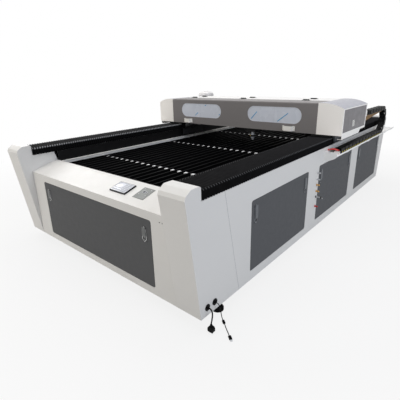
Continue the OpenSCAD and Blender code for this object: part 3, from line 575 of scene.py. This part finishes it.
class CUTTER_OT_doors(Part, bpy.types.Operator):
    """Coat the doors, and trim their latches"""
    bl_idname = "cutter.doors"
    bl_label = "Doors"

    def build(self, scene):
        colour = tuple(scene.cutter_colours.doors)
        doors = coat("door coat", colour, 0.04, (0.5, 0.65), 0.05)
        side_doors = [f"right_door_{number}" for number in (1, 2, 3)]
        finish_nodes(doors, "front_door", *side_doors)
        finish_nodes(moulding("latch lever", shade(108, 110, 111), 0.3, 0.45), "front_door_latches")
        finish_nodes(moulding("side latch lever", shade(98, 101, 105), 0.3, 0.45),
                     *(door + "_latches" for door in side_doors))
        chrome = Finish("latch chrome", shade(204, 206, 208), 0.3, 0.15)
        chrome.mottle(60, 0.2).gloss(50, 0.2, 0.35).grain(400, 0.1)
        # Painted shade: the side latches' rims are a darker, more mottled copy of the latch chrome.
        painted_light = Finish("side latch rim", shade(136, 140, 145), 0.35, 0.1)
        painted_light.mottle(25, 0.9, shade(90, 93, 97)).gloss(50, 0.25, 0.4).grain(400, 0.1)
        black = moulding("lock core", shade(10, 10, 10))
        rim = scene.cutter_sizes.latch_rim
        rows = [("front_door", FRONT, 0.09, [(x, FRONT_Y, 0.52) for x in (-0.575, 0.575)])]
        for i, door in enumerate(side_doors):
            tops = [(SIDE_X, y + BAY_PITCH * i, 0.59) for y in (-1.22, -0.5)]
            rows.append((door, RIGHTWARDS, 0.115, tops))
        for door, facing, height, tops in rows:
            rims, cores = [], []
            for x, y, z in tops:
                rims.append((surround(0.038, height + 0.012, 0.0028, rim, 0.0186, 1),
                             place(x, y, z + 0.001 - height / 2, facing)))
                lock = place(x, y, z + 0.02 - height, facing)
                lip = [(0.0072, 0.0058), (0.0084, 0.0054), (0.0084, 0), (0.0072, 0)]
                rims.append((turned(lip, 20), lock))
                cores.append((peg(0.0074, 0.006), lock))
            pattern(door + " latch rims", chrome if facing == FRONT else painted_light, door, rims)
            pattern(door + " lock cores", black, door, cores)


def on_desk(x, up):
    """A place on the sloping desk, at a distance up the slope from its front edge."""
    tilt, edge = atan2(56, 190), 0.632
    return place(x, FRONT_Y + up * cos(tilt), edge + up * sin(tilt), lean=tilt)


class CUTTER_OT_desk(Part, bpy.types.Operator):
    """Fit the keypad and the socket plate on the sloping desk"""
    bl_idname = "cutter.desk"
    bl_label = "Desk controls"

    def build(self, scene):
        black = moulding("keypad case", shade(26, 27, 32), 0.3, 0.45)
        silver = Finish("keypad face", shade(208, 210, 216), 0.4, 0.1)
        silver.mottle(30, 0.2).gloss(60, 0.3, 0.5).grain(300, 0.1, across=(1, 20, 1))
        key = moulding("key grey", shade(168, 172, 182), 0.35, 0.5)
        screen = Finish("keypad screen", shade(222, 224, 232), 0.15)
        screen.mottle(14, 0.35, shade(190, 196, 210)).gloss(20, 0.08, 0.2)
        finish_nodes(black, "keypad")
        at, top = on_desk(0.254, 0.117), 0.0106
        pattern("keypad face", silver, "base", [
            (bar((-0.0746, -0.0476, 0.0066), (0.0746, 0.0476, top), 0.0015), at)])
        pattern("keypad screen", screen, "base", [
            (bar((-0.062, -0.012, top), (0.006, 0.038, 0.0112), 0.0003), at)])
        pattern("screen frame", key, "base", [
            (surround(0.076, 0.058, 0.0011, 0.004, 0.003), at @ shift(-0.028, 0.013, top))])
        keys = [(x, y) for x in (0.022, 0.036, 0.05, 0.064)
                for y in (-0.038, -0.023, -0.008, 0.007, 0.022, 0.037)]
        keys += [(x, -0.034) for x in (-0.06, -0.044, -0.028, -0.012, 0.004)]
        pattern("keypad keys", key, "base", [
            (bar((-0.005, -0.0045, 0), (0.005, 0.0045, 0.0014), 0.001), at @ shift(x, y, top))
            for x, y in keys])

        grey = moulding("socket plate", shade(138, 141, 139), 0.4, 0.6)
        finish_nodes(grey, "socket_plate")
        at = on_desk(0.452, 0.138)
        pattern("socket surround", grey, "base", [
            (bar((x0, y0, 0), (x1, y1, 0.0028)), at) for x0, y0, x1, y1 in (
                (-0.049, -0.068, 0.049, -0.0326), (-0.049, 0.0326, 0.049, 0.044),
                (-0.049, -0.0326, -0.0356, 0.0326), (0.0356, -0.0326, 0.049, 0.0326))])
        pattern("socket rims", silver, "base", [
            (surround(0.020, 0.022, 0.0009, 0.002, 0.001), at @ shift(-0.009, 0, 0.003)),
            (surround(0.016, 0.014, 0.0009, 0.002, 0.001), at @ shift(0.011, 0, 0.003)),
            *((screw(0.0028), at @ shift(x, y, 0.003))
              for x in (-0.03, 0.03) for y in (-0.029, 0.029))])
        pattern("socket tongues", black, "base", [
            (bar((-0.013, -0.004, -0.011), (-0.005, 0.004, 0.001), 0.0005), at),
            (bar((0.008, -0.001, -0.011), (0.014, 0.001, 0.001), 0.0003), at)])


class CUTTER_OT_bed(Part, bpy.types.Operator):
    """Finish the bed: slats, comb bars, edge rails and guides"""
    bl_idname = "cutter.bed"
    bl_label = "Bed"

    def build(self, scene):
        lengthways = (1, 0.05, 1)
        blade = Finish("slat anodising", shade(4, 4, 5), 0.6, specular=0.03)
        blade.mottle(12, 0.6, shade(9, 9, 10)).gloss(30, 0.5, 0.7, (1, 0.1, 1))
        finish_nodes(blade.grain(250, 0.2, across=lengthways), "bed_slats")
        bright = Finish("comb bar", shade(236, 236, 238), 0.4).mottle(15, 0.3).gloss(40, 0.3, 0.5)
        finish_nodes(bright.grain(200, 0.2), "bed_crossbars")
        rail = Finish("edge rail", shade(250, 248, 244), 0.35).mottle(15, 0.2).gloss(40, 0.25, 0.45)
        finish_nodes(rail.grain(200, 0.2, across=lengthways), "edge_rails")
        finish_nodes(coat("well coat", shade(14, 14, 15), 0.1, specular=0.15), "well_walls")
        ground = metal("ground steel", shade(176, 178, 182), 0.2, 0.4, lengthways)
        finish_nodes(ground, "y_rails", "y_carriages")
        finish_nodes(coat("gantry plate", shade(44, 45, 47), specular=0.15), "gantry_plates")
        # Black sheets that hang at the front and the back of each end of the gantry, over the side
        # panel's top between the bellows.
        black_sheet = Finish("curtain felt", shade(10, 10, 11), 0.9, specular=0.02)
        black_sheet.mottle(80, 0.5, shade(20, 20, 21)).gloss(40, 0.8, 0.95).grain(900, 0.4)
        leg, reach = 0.802, 0.06
        pattern("gantry end_curtains", black_sheet, "gantry", [
            (bar((side * leg - reach, y, 0.773), (side * leg + reach, y + 0.006, 0.847), 0.001),
             Matrix())
            for side in (LEFT, RIGHT) for y in (0.030, 0.544)])


class CUTTER_OT_bellows(Part, bpy.types.Operator):
    """Pleat the bellows that cover the long guides"""
    bl_idname = "cutter.bellows"
    bl_label = "Bellows"

    def build(self, scene):
        sizes = scene.cutter_sizes
        cloth = Finish("bellows cloth", shade(9, 9, 10), 0.65, specular=0.06)
        cloth.mottle(25, 0.5, shade(18, 18, 20))
        # Painted highlight: the pleats' crests on the strips' tops are tinted grey, and the hems
        # along the tops' edges are tinted pale grey, partly their pale stitching and partly painted
        # highlight.
        for mark, low, strength, colour in (
            ("crest", 0.7, 0.7, shade(42, 42, 45)),
            ("hem", 0.3, 1.0, shade(186, 188, 192)),
        ):
            painted_light = cloth.add("ShaderNodeAttribute")
            painted_light.attribute_name = mark
            cloth.tint(cloth.band(painted_light.outputs["Fac"], low, 1.0, 0.0, strength), colour)
        cloth.gloss(30, 0.55, 0.75).grain(600, 0.3)
        cut, knee = 0.013, 0.006
        # How strong each strip's hem highlight is: weaker on the rear strips, which is painted
        # shade.
        for node, near, far, highlight_strength in (("bellows_front", "base", "gantry", 0.45),
                                      ("bellows_rear", "gantry", "base", 0.15)):
            low, high = lowest(node), highest(node)
            count = round((high.y - low.y) / sizes.pleat)
            pitch = (high.y - low.y) / count / 2
            inner, outer, inner_hem = 0.796, high.x, 0.81
            for side in (LEFT, RIGHT):
                mesh = bmesh.new()
                corners = [mesh.verts.new((side * x, low.y, z)) for x, z in (
                    (inner, low.z), (inner, high.z - cut), (inner, high.z - knee),
                    (inner + knee, high.z), (inner + cut, high.z), (outer - cut, high.z),
                    (outer - knee, high.z), (outer, high.z - knee), (outer, high.z - cut),
                    (outer, low.z))]
                edges = [mesh.edges.new(pair) for pair in zip(corners, corners[1:])]
                bmesh.ops.spin(mesh, geom=corners + edges, cent=(0, 0, 0), axis=(0, 0, 1),
                               angle=0, dvec=(0, pitch, 0), steps=2 * count)
                middle = side * (inner + outer) / 2
                reach = (outer - inner) / 2
                for vert in mesh.verts:
                    if round((vert.co.y - low.y) / pitch) % 2 == 0:
                        continue
                    if abs(vert.co.x - middle) < reach - 0.003:
                        vert.co.z -= sizes.pleat_depth
                        vert.co.x += (middle - vert.co.x) * 0.05
                    else:
                        vert.co.x -= copysign(sizes.pleat_depth, vert.co.x - middle)
                        vert.co.z -= sizes.pleat_depth * 0.8 if vert.co.z > low.z + 0.01 else 0
                thicken(mesh, 0.0008)
                crest, hem = (mesh.verts.layers.float.new(mark) for mark in ("crest", "hem"))
                top, edge = high.z - 0.008, reach - 0.008
                for vert in mesh.verts:
                    if vert.co.z > top:
                        vert[crest] = abs(1 - (vert.co.y - low.y) / pitch % 2)
                        # The left strips' inner hems take the painted highlight at full strength.
                        full_highlight = side == LEFT and vert.co.x * side < inner_hem
                        if abs(vert.co.x - middle) > edge:
                            vert[hem] = vert[crest] * (1.0 if full_highlight else highlight_strength)
                name = node + (" left" if side == LEFT else " right")
                made = piece(name, mesh, cloth, None, node)
                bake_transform(made)


class CUTTER_OT_housing(Part, bpy.types.Operator):
    """Coat the gantry's housing, and fit its hinges, handles and windows"""
    bl_idname = "cutter.housing"
    bl_label = "Gantry housing"

    def build(self, scene):
        gloss = coat("housing coat", shade(226, 225, 224), 0.04, (0.35, 0.5), 0.12)
        finish_nodes(gloss, "housing_spine", "rear_cover")
        # The end caps: the housing's white made brighter, painted light, and their tops laid over
        # with a cool, darker colour, painted shade.
        cap = coat("end cap coat", shade(250, 247, 243), 0.0, (0.35, 0.5), 0.12)
        cap.film_and_top_shade(0.3, 0.85, 0.9, shade(160, 161, 170))
        finish_nodes(cap, "end_cap_left", "end_cap_right")
        bracket = coat("chain bracket coat", shade(40, 40, 42), specular=0.15)
        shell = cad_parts["end_cap_right"].data
        shell.materials.append(bracket.material)
        cap_rear = 0.6155
        for face in shell.polygons:
            if face.center.y > cap_rear:
                face.material_index = 1
        colour = tuple(scene.cutter_colours.cover)
        finish_nodes(coat("cover coat", colour, 0.04, specular=0.2), "front_cover")
        finish_nodes(coat("end panel coat", shade(102, 99, 102), 0.04, (0.32, 0.45), 0.3),
                     "end_panel_right", "end_panel_left")
        black = moulding("hinge black", shade(18, 18, 18), 0.3, 0.5)
        finish_nodes(black, "cover_hinges")
        steel = metal("small screws", shade(180, 182, 186), 0.25, 0.4)
        leaf = bar((-0.033, 0, 0), (0.033, 0.022, 0.0036), 0.0008)
        hinges = (-0.76, -0.068, 0.635)
        for cover, y, screw_y in (("front_cover", 0.214, 0.224), ("rear_cover", 0.426, 0.436)):
            pattern(cover + " leaves", black, cover, [
                (leaf.copy(), place(x, y, 1.1143)) for x in hinges])
            pattern(cover + " leaf screws", steel, cover, [
                (screw(0.003), place(x + dx, screw_y, 1.1179))
                for x in hinges for dx in (-0.02, 0.02)])
        leaf.free()

        film_and_top_shade = Finish("window film", shade(206, 211, 222), 0.3)
        film_and_top_shade.mottle(8, 0.5, shade(194, 201, 214)).gloss(12, 0.15, 0.35).grain(20, 0.15, 0.001)
        finish_nodes(film_and_top_shade, "cover_windows")
        crease = Finish("film crease", shade(182, 188, 202), 0.3)
        crease.mottle(30, 0.3).gloss(20, 0.2, 0.4)
        film_y = -0.032
        pattern("film creases", crease, "front_cover", [
            (bar((-0.001, -0.07, 0), (0.001, 0.07, 0.0003)), place(x, film_y, 0.9975, FRONT))
            for x in (-0.45, 0.453)])
        ink = Finish("film strokes", shade(70, 168, 204), 0.35)
        ink.mottle(60, 0.8, shade(40, 104, 176)).gloss(40, 0.3, 0.5)
        pattern("film strokes", ink, "front_cover", [
            (bar((0, -0.004, 0), (length, 0.004, 0.0004), 0.0001),
             place(x, film_y, z, FRONT) @ Matrix.Rotation(radians(angle), 4, "Z"))
            for x, z, angle, length in (
                (0.204, 0.946, 48, 0.095), (0.489, 0.938, 37, 0.13), (-0.523, 0.943, 38, 0.054),
                (-0.384, 1.05, 20, 0.02), (-0.192, 0.962, 30, 0.014))])

        strap = Finish("handle silver", shade(238, 236, 231), 0.35)
        strap.mottle(60, 0.2).gloss(60, 0.25, 0.4).grain(400, 0.1)
        finish_nodes(strap, "cover_handles")
        pattern("handle screws", steel, "front_cover", [
            (screw(0.003), place(x + dx, -0.038, z, FRONT))
            for x in (-0.626, 0.607) for dx in (-0.052, 0.052) for z in (0.872, 0.895)])

        for side, facing, panel in ((RIGHT, RIGHTWARDS, "end_panel_right"),
                                    (LEFT, LEFTWARDS, "end_panel_left")):
            at = place(side * 1.081, 0.24, 0.93, facing)
            pattern(panel + " latch", strap, panel, [
                (bar((-0.022, -0.027, 0), (0.022, 0.027, 0.0022), 0.001), at),
                (bar((-0.0084, -0.0244, 0.0035), (0.0084, 0.0124, 0.0092), 0.001), at),
                (peg(0.0074, 0.0092), at @ shift(y=0.012))])
            pattern(panel + " screws", steel, panel, [
                (screw(0.0025), at @ shift(x, y, 0.0022))
                for x in (-0.017, 0.017) for y in (-0.021, 0.021)])


def along_tube(x):
    """Lays a part's Z along the laser tube's axis, from a point on it."""
    return shift(x, 0.505, 0.985) @ Matrix.Rotation(pi / 2, 4, "Y")


class CUTTER_OT_gantry(Part, bpy.types.Operator):
    """Fit the laser tube, the drive belt and the extraction fan on the gantry"""
    bl_idname = "cutter.gantry"
    bl_label = "Gantry"

    def build(self, scene):
        finish_nodes(coat("beam coat", shade(150, 152, 154)), "gantry_beam")
        black = moulding("clamp plastic", shade(24, 24, 25))
        finish_nodes(black, "tube_clamps")
        steel = metal("rail steel", shade(182, 184, 188), 0.2, 0.35, (0.05, 1, 1))
        finish_nodes(steel, "x_rail")
        dark = moulding("bolt sockets", shade(34, 34, 36))
        rail_end = 0.84
        pattern("rail bolts", dark, "gantry", [
            (peg(0.0034, 0.0002, sides=10), place(-rail_end + 0.06 * k, 0.217, 0.955, FRONT))
            for k in range(29)])

        glass = Finish("tube glass", shade(212, 226, 232), 0.05, alpha=0.35)
        finish_nodes(glass.mottle(20, 0.2).gloss(20, 0.03, 0.12), "laser_tube")
        inner = Finish("inner glass", shade(196, 214, 224), 0.08, alpha=0.5)
        inner.mottle(20, 0.3).gloss(20, 0.05, 0.15)
        pattern("inner tubes", inner, "gantry", [
            (ring(0.024, 0.026, 1.32), along_tube(-0.66)),
            (ring(0.009, 0.011, 1.5), along_tube(-0.75))])
        brass = metal("electrode metal", shade(196, 170, 120), 0.3, 0.45)
        pattern("electrodes", brass, "gantry", [
            (ring(0.012, 0.019, 0.05), along_tube(x)) for x in (-0.745, 0.695)])

        rubber = moulding("belt rubber", shade(26, 26, 27), 0.6, 0.8)
        pattern("drive belt", rubber, "gantry", [
            (bar((-rail_end, 0.223, z), (rail_end, 0.232, z + 0.0015)), Matrix())
            for z in (1.0045, 1.0200)])
        wheel = [(0.004, 0), (0.0105, 0), (0.0105, 0.001), (0.0078, 0.0015), (0.0078, 0.0115),
                 (0.0105, 0.012), (0.0105, 0.013), (0.004, 0.013), (0.004, 0)]
        pattern("belt wheels", steel, "gantry", [
            (turned(wheel), place(x, 0.2345, 1.013, FRONT)) for x in (-rail_end, rail_end)])

        white = coat("fan coat", shade(220, 218, 218), 0.05, (0.25, 0.4), 0.5)
        finish_nodes(white, "fume_fan")
        at = shift(-0.985, 0.725, 0.99)
        pattern("fan seams", moulding("fan seam", shade(90, 90, 94)), "gantry", [
            (ring(0.0998, 0.1004, 0.003, low, 48), at) for low in (0.128, 0.02)])
        pattern("fan cap", white, "gantry", [
            (turned([(0, 0.183), (0.02, 0.182), (0.03, 0.179), (0.033, 0.172), (0, 0.172)]), at)])
        slot = bar((0.0995, -0.0015, 0.045), (0.1008, 0.0015, 0.105))
        pattern("fan slots", dark, "gantry", [
            (slot.copy(), at @ Matrix.Rotation(2 * pi * k / 24, 4, "Z")) for k in range(24)])
        slot.free()


class CUTTER_OT_chain(Part, bpy.types.Operator):
    """Finish the cable chain: pins on its straight runs, yellow tabs on the lower run and a cable
    liner in the upper
    """
    bl_idname = "cutter.chain"
    bl_label = "Cable chain"

    def build(self, scene):
        nylon = Finish("chain nylon", shade(12, 12, 13), 0.5, specular=0.08)
        nylon.mottle(60, 0.4).gloss(60, 0.4, 0.6).grain(500, 0.2)
        finish_nodes(nylon, "chain_bend_lower", "chain_bend_upper")
        yellow = moulding("tab yellow", shade(232, 216, 60), 0.4, 0.5)
        card = Finish("cable liner", shade(178, 146, 108), 0.7)
        card.mottle(20, 0.4).gloss(20, 0.6, 0.8).grain(200, 0.2)
        pin = peg(0.008, 0.0012, sides=16)
        link, outside, inside = 0.05, 1.096, 1.036
        for node, near, far, count, start, z in (
            ("chain_lower", "base", "chain_loop_lower", 25, -0.03, 0.7273),
            ("chain_upper", "gantry", "chain_loop_upper", 11, 0.67, 0.9836),
        ):
            low, high = lowest(node), highest(node)
            mesh = bmesh.new()
            mesh.from_mesh(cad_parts[node].data)
            bmesh.ops.remove_doubles(mesh, verts=mesh.verts, dist=0.00001)
            for k in range(count):
                lay(mesh, pin.copy(), place(outside, start + link * k, z, RIGHTWARDS))
                lay(mesh, pin.copy(), place(inside, start + link * k, z, LEFTWARDS))
            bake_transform(piece(node + " links", mesh, nylon, None, node))
            extra = bmesh.new()
            if node == "chain_lower":
                for k in range(count):
                    lay(extra, bar((-0.0055, -0.0075, 0), (0.0055, 0.0075, 0.0014), 0.0004),
                        place(outside, start + link / 2 + link * k, z - 0.011, RIGHTWARDS))
                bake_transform(piece("link tabs", extra, yellow, None))
            else:
                bmesh.ops.create_grid(extra, x_segments=1, y_segments=24, size=0.5)
                length = high.y - low.y - 0.03
                for vert in extra.verts:
                    hang = 0.5 - vert.co.y
                    vert.co = (1.08 - 0.012 * hang, low.y + 0.02 + length * (1 - hang),
                               z - 0.024 - (0.052 * hang if vert.co.x > 0 else 0))
                bmesh.ops.solidify(extra, geom=list(extra.faces), thickness=0.003)
                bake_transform(piece("cable liner", extra, card, None))
        pin.free()


class CUTTER_OT_head(Part, bpy.types.Operator):
    """Finish the laser head, its mirror mount and its nozzle"""
    bl_idname = "cutter.head"
    bl_label = "Laser head"

    def build(self, scene):
        finish_nodes(moulding("head black", shade(20, 21, 24), 0.3, 0.45), "head_carriage")
        bright = metal("head anodising", shade(206, 211, 220), 0.25, 0.45, metallic=0.3)
        finish_nodes(bright, "focus_tube")
        black = moulding("knurled ring", shade(26, 26, 28))
        x, y = 0.145, 0.105
        pattern("focus ring", black, "focus", [(peg(0.0224, 0.02, sides=48), place(x, y, 0.747))])
        brass = metal("head brass", shade(200, 168, 104), 0.25, 0.4)
        pattern("air nipple", brass, "focus", [
            (turned([(0, 0), (0.004, 0), (0.004, 0.008), (0.0028, 0.009), (0.0028, 0.016),
                     (0, 0.016)], 16), place(x - 0.0218, y, 0.757, LEFTWARDS))])
        corner = highest("head_carriage").z
        pattern("mirror knobs", brass, "head", [
            (peg(0.005, 0.006), place(x + dx, y + 0.105, corner)) for dx in (-0.016, 0.016)])


class CUTTER_OT_fittings(Part, bpy.types.Operator):
    """Screw the row of unions into the side panel"""
    bl_idname = "cutter.fittings"
    bl_label = "Unions"

    def build(self, scene):
        silver = metal("union nickel", shade(196, 198, 200), 0.25, 0.4, metallic=0.6)
        brass = metal("union brass", shade(206, 158, 84), 0.25, 0.4, metallic=0.6)
        black = moulding("union black", shade(24, 24, 25))
        red = moulding("union red", shade(196, 44, 48), 0.35, 0.5)
        tap = 5
        for number, (height, nut, stem) in enumerate((
            (0.578, silver, silver), (0.523, silver, silver), (0.475, brass, brass),
            (0.421, brass, brass), (0.372, black, silver), (0.287, red, red),
        ), 1):
            at = place(SIDE_X, -0.265, height, RIGHTWARDS)
            pattern(f"union nut {number}", nut, "base", [
                (peg(0.006, 0.015), at @ shift(z=-0.015)),
                (peg(0.01, 0.006, sides=6), at @ shift(z=-0.009)),
                (peg(0.01, 0.006, sides=6), at)], "hose_fittings")
            if number == tap:
                pattern("tap stem", stem, "base", [
                    (peg(0.005, 0.034), at @ shift(z=0.006)),
                    (bar((-0.003, -0.003, 0.05), (0.026, 0.003, 0.0525), 0.001),
                     at @ Matrix.Rotation(radians(-38), 4, "Z"))])
                pattern("tap end", black, "base", [(peg(0.008, 0.012), at @ shift(z=0.04))])
            else:
                barb = turned([(0.005, 0), (0.005, 0.0135), (0.006, 0.0135), (0.005, 0.017),
                               (0.006, 0.017), (0.0045, 0.02), (0.003, 0.02), (0.003, 0)], 20)
                pattern(f"union stem {number}", stem, "base", [(barb, at @ shift(z=0.006))])
                pattern(f"union bore {number}", black, "base", [
                    (peg(0.0031, 0.0235, sides=12), at)])


class CUTTER_OT_stage(Part, bpy.types.Operator):
    """Lay the pale floor and hang the soft lamps"""
    bl_idname = "cutter.stage"
    bl_label = "Stage"

    @staticmethod
    def seen_direct(tree, share):
        """One where the eye, a reflection or glass looks at the surface, times any share."""
        path = tree.nodes.new("ShaderNodeLightPath")
        last = path.outputs["Is Camera Ray"]
        for name in ("Is Glossy Ray", "Is Transmission Ray"):
            last = combine(tree, "ADD", last, path.outputs[name], clamp=True)
        return last if share is None else combine(tree, "MULTIPLY", last, share)

    def build(self, scene):
        mesh = bmesh.new()
        bmesh.ops.create_grid(mesh, x_segments=1, y_segments=1, size=60)
        bmesh.ops.translate(mesh, verts=mesh.verts, vec=(0, 0, CAD_BOX[0][2] - 0.0005))
        pale = Finish("floor", (0.55, 0.55, 0.55), 0.8, specular=0.0)
        pale.mottle(1.2, 0.1).gloss(3, 0.75, 0.85)
        piece("floor", mesh, pale, None)
        white = pale.add("ShaderNodeEmission", Color=(1, 1, 1, 1), Strength=1.0)
        mix = pale.tree.nodes.new("ShaderNodeMixShader")
        far = pale.tree.nodes.new("ShaderNodeVectorMath")
        far.operation = "LENGTH"
        pale.tree.links.new(pale.place, far.inputs[0])
        share = pale.band(far.outputs["Value"], 2.2, 4.5, 0.84, 1.0)
        pale.tree.links.new(self.seen_direct(pale.tree, share), mix.inputs[0])
        pale.tree.links.new(pale.shader.outputs[0], mix.inputs[1])
        pale.tree.links.new(white.outputs[0], mix.inputs[2])
        pale.tree.links.new(mix.outputs[0], pale.tree.nodes["Material Output"].inputs[0])

        world = bpy.data.worlds.new("studio")
        scene.world = world
        world.use_nodes = True
        tree = world.node_tree
        sky = tree.nodes["Background"]
        sky.inputs[0].default_value = (1, 1, 1, 1)
        sky.inputs[1].default_value = 0.39
        backdrop = tree.nodes.new("ShaderNodeBackground")
        backdrop.inputs[0].default_value = (1, 1, 1, 1)
        backdrop.inputs[1].default_value = 1.0
        mix = tree.nodes.new("ShaderNodeMixShader")
        tree.links.new(self.seen_direct(tree, None), mix.inputs[0])
        tree.links.new(sky.outputs[0], mix.inputs[1])
        tree.links.new(backdrop.outputs[0], mix.inputs[2])
        tree.links.new(mix.outputs[0], tree.nodes["World Output"].inputs[0])
        aim = Vector((0, -0.6, 0.6))
        for name, spot, size, power, tone in (
            ("overhead", (-0.5, 0.0, 5.5), 5.0, 175, (1.0, 0.99, 0.98)),
            ("window light", (-4.8, -0.6, 3.6), 2.5, 72, (1.0, 1.0, 1.0)),
            ("from the right", (6.0, -1.5, 3.0), 3.0, 125, (0.80, 0.87, 1.0)),
            ("from the front", (-2.0, -7.0, 3.0), 3.0, 125, (1.0, 0.94, 0.84)),
        ):
            data = bpy.data.lights.new(name, "AREA")
            data.size = size
            data.energy = power
            data.color = tone
            lamp = bpy.data.objects.new(name, data)
            scene.collection.objects.link(lamp)
            lamp.location = spot
            lamp.rotation_euler = (Vector(spot) - aim).to_track_quat("Z", "Y").to_euler()
        scene.view_settings.view_transform = "Standard"


class CUTTER_PT_parts(bpy.types.Panel):
    """Lists the parts of the cutter"""
    bl_idname = "CUTTER_PT_parts"
    bl_label = "Laser cutter"
    bl_space_type = "VIEW_3D"
    bl_region_type = "UI"
    bl_category = "Cutter"

    def draw(self, context):
        for group in (context.scene.cutter_sizes, context.scene.cutter_colours):
            for name in group.__annotations__:
                self.layout.prop(group, name)
        for part in PARTS:
            self.layout.operator(part.bl_idname)


PARTS = (
    CUTTER_OT_camera,
    CUTTER_OT_cords,
    CUTTER_OT_cabinet,
    CUTTER_OT_supplies,
    CUTTER_OT_doors,
    CUTTER_OT_desk,
    CUTTER_OT_bed,
    CUTTER_OT_bellows,
    CUTTER_OT_housing,
    CUTTER_OT_gantry,
    CUTTER_OT_chain,
    CUTTER_OT_head,
    CUTTER_OT_fittings,
    CUTTER_OT_stage,
)


def register():
    for part in (CutterSizes, CutterColours, *PARTS, CUTTER_PT_parts):
        bpy.utils.register_class(part)
    bpy.types.Scene.cutter_sizes = bpy.props.PointerProperty(type=CutterSizes)
    bpy.types.Scene.cutter_colours = bpy.props.PointerProperty(type=CutterColours)


def unregister():
    del bpy.types.Scene.cutter_sizes, bpy.types.Scene.cutter_colours
    for part in (CUTTER_PT_parts, *reversed(PARTS), CutterColours, CutterSizes):
        bpy.utils.unregister_class(part)


def main():
    register()
    for part in PARTS:
        group, name = part.bl_idname.split(".")
        getattr(getattr(bpy.ops, group), name)()


if __name__ == "__main__":
    main()
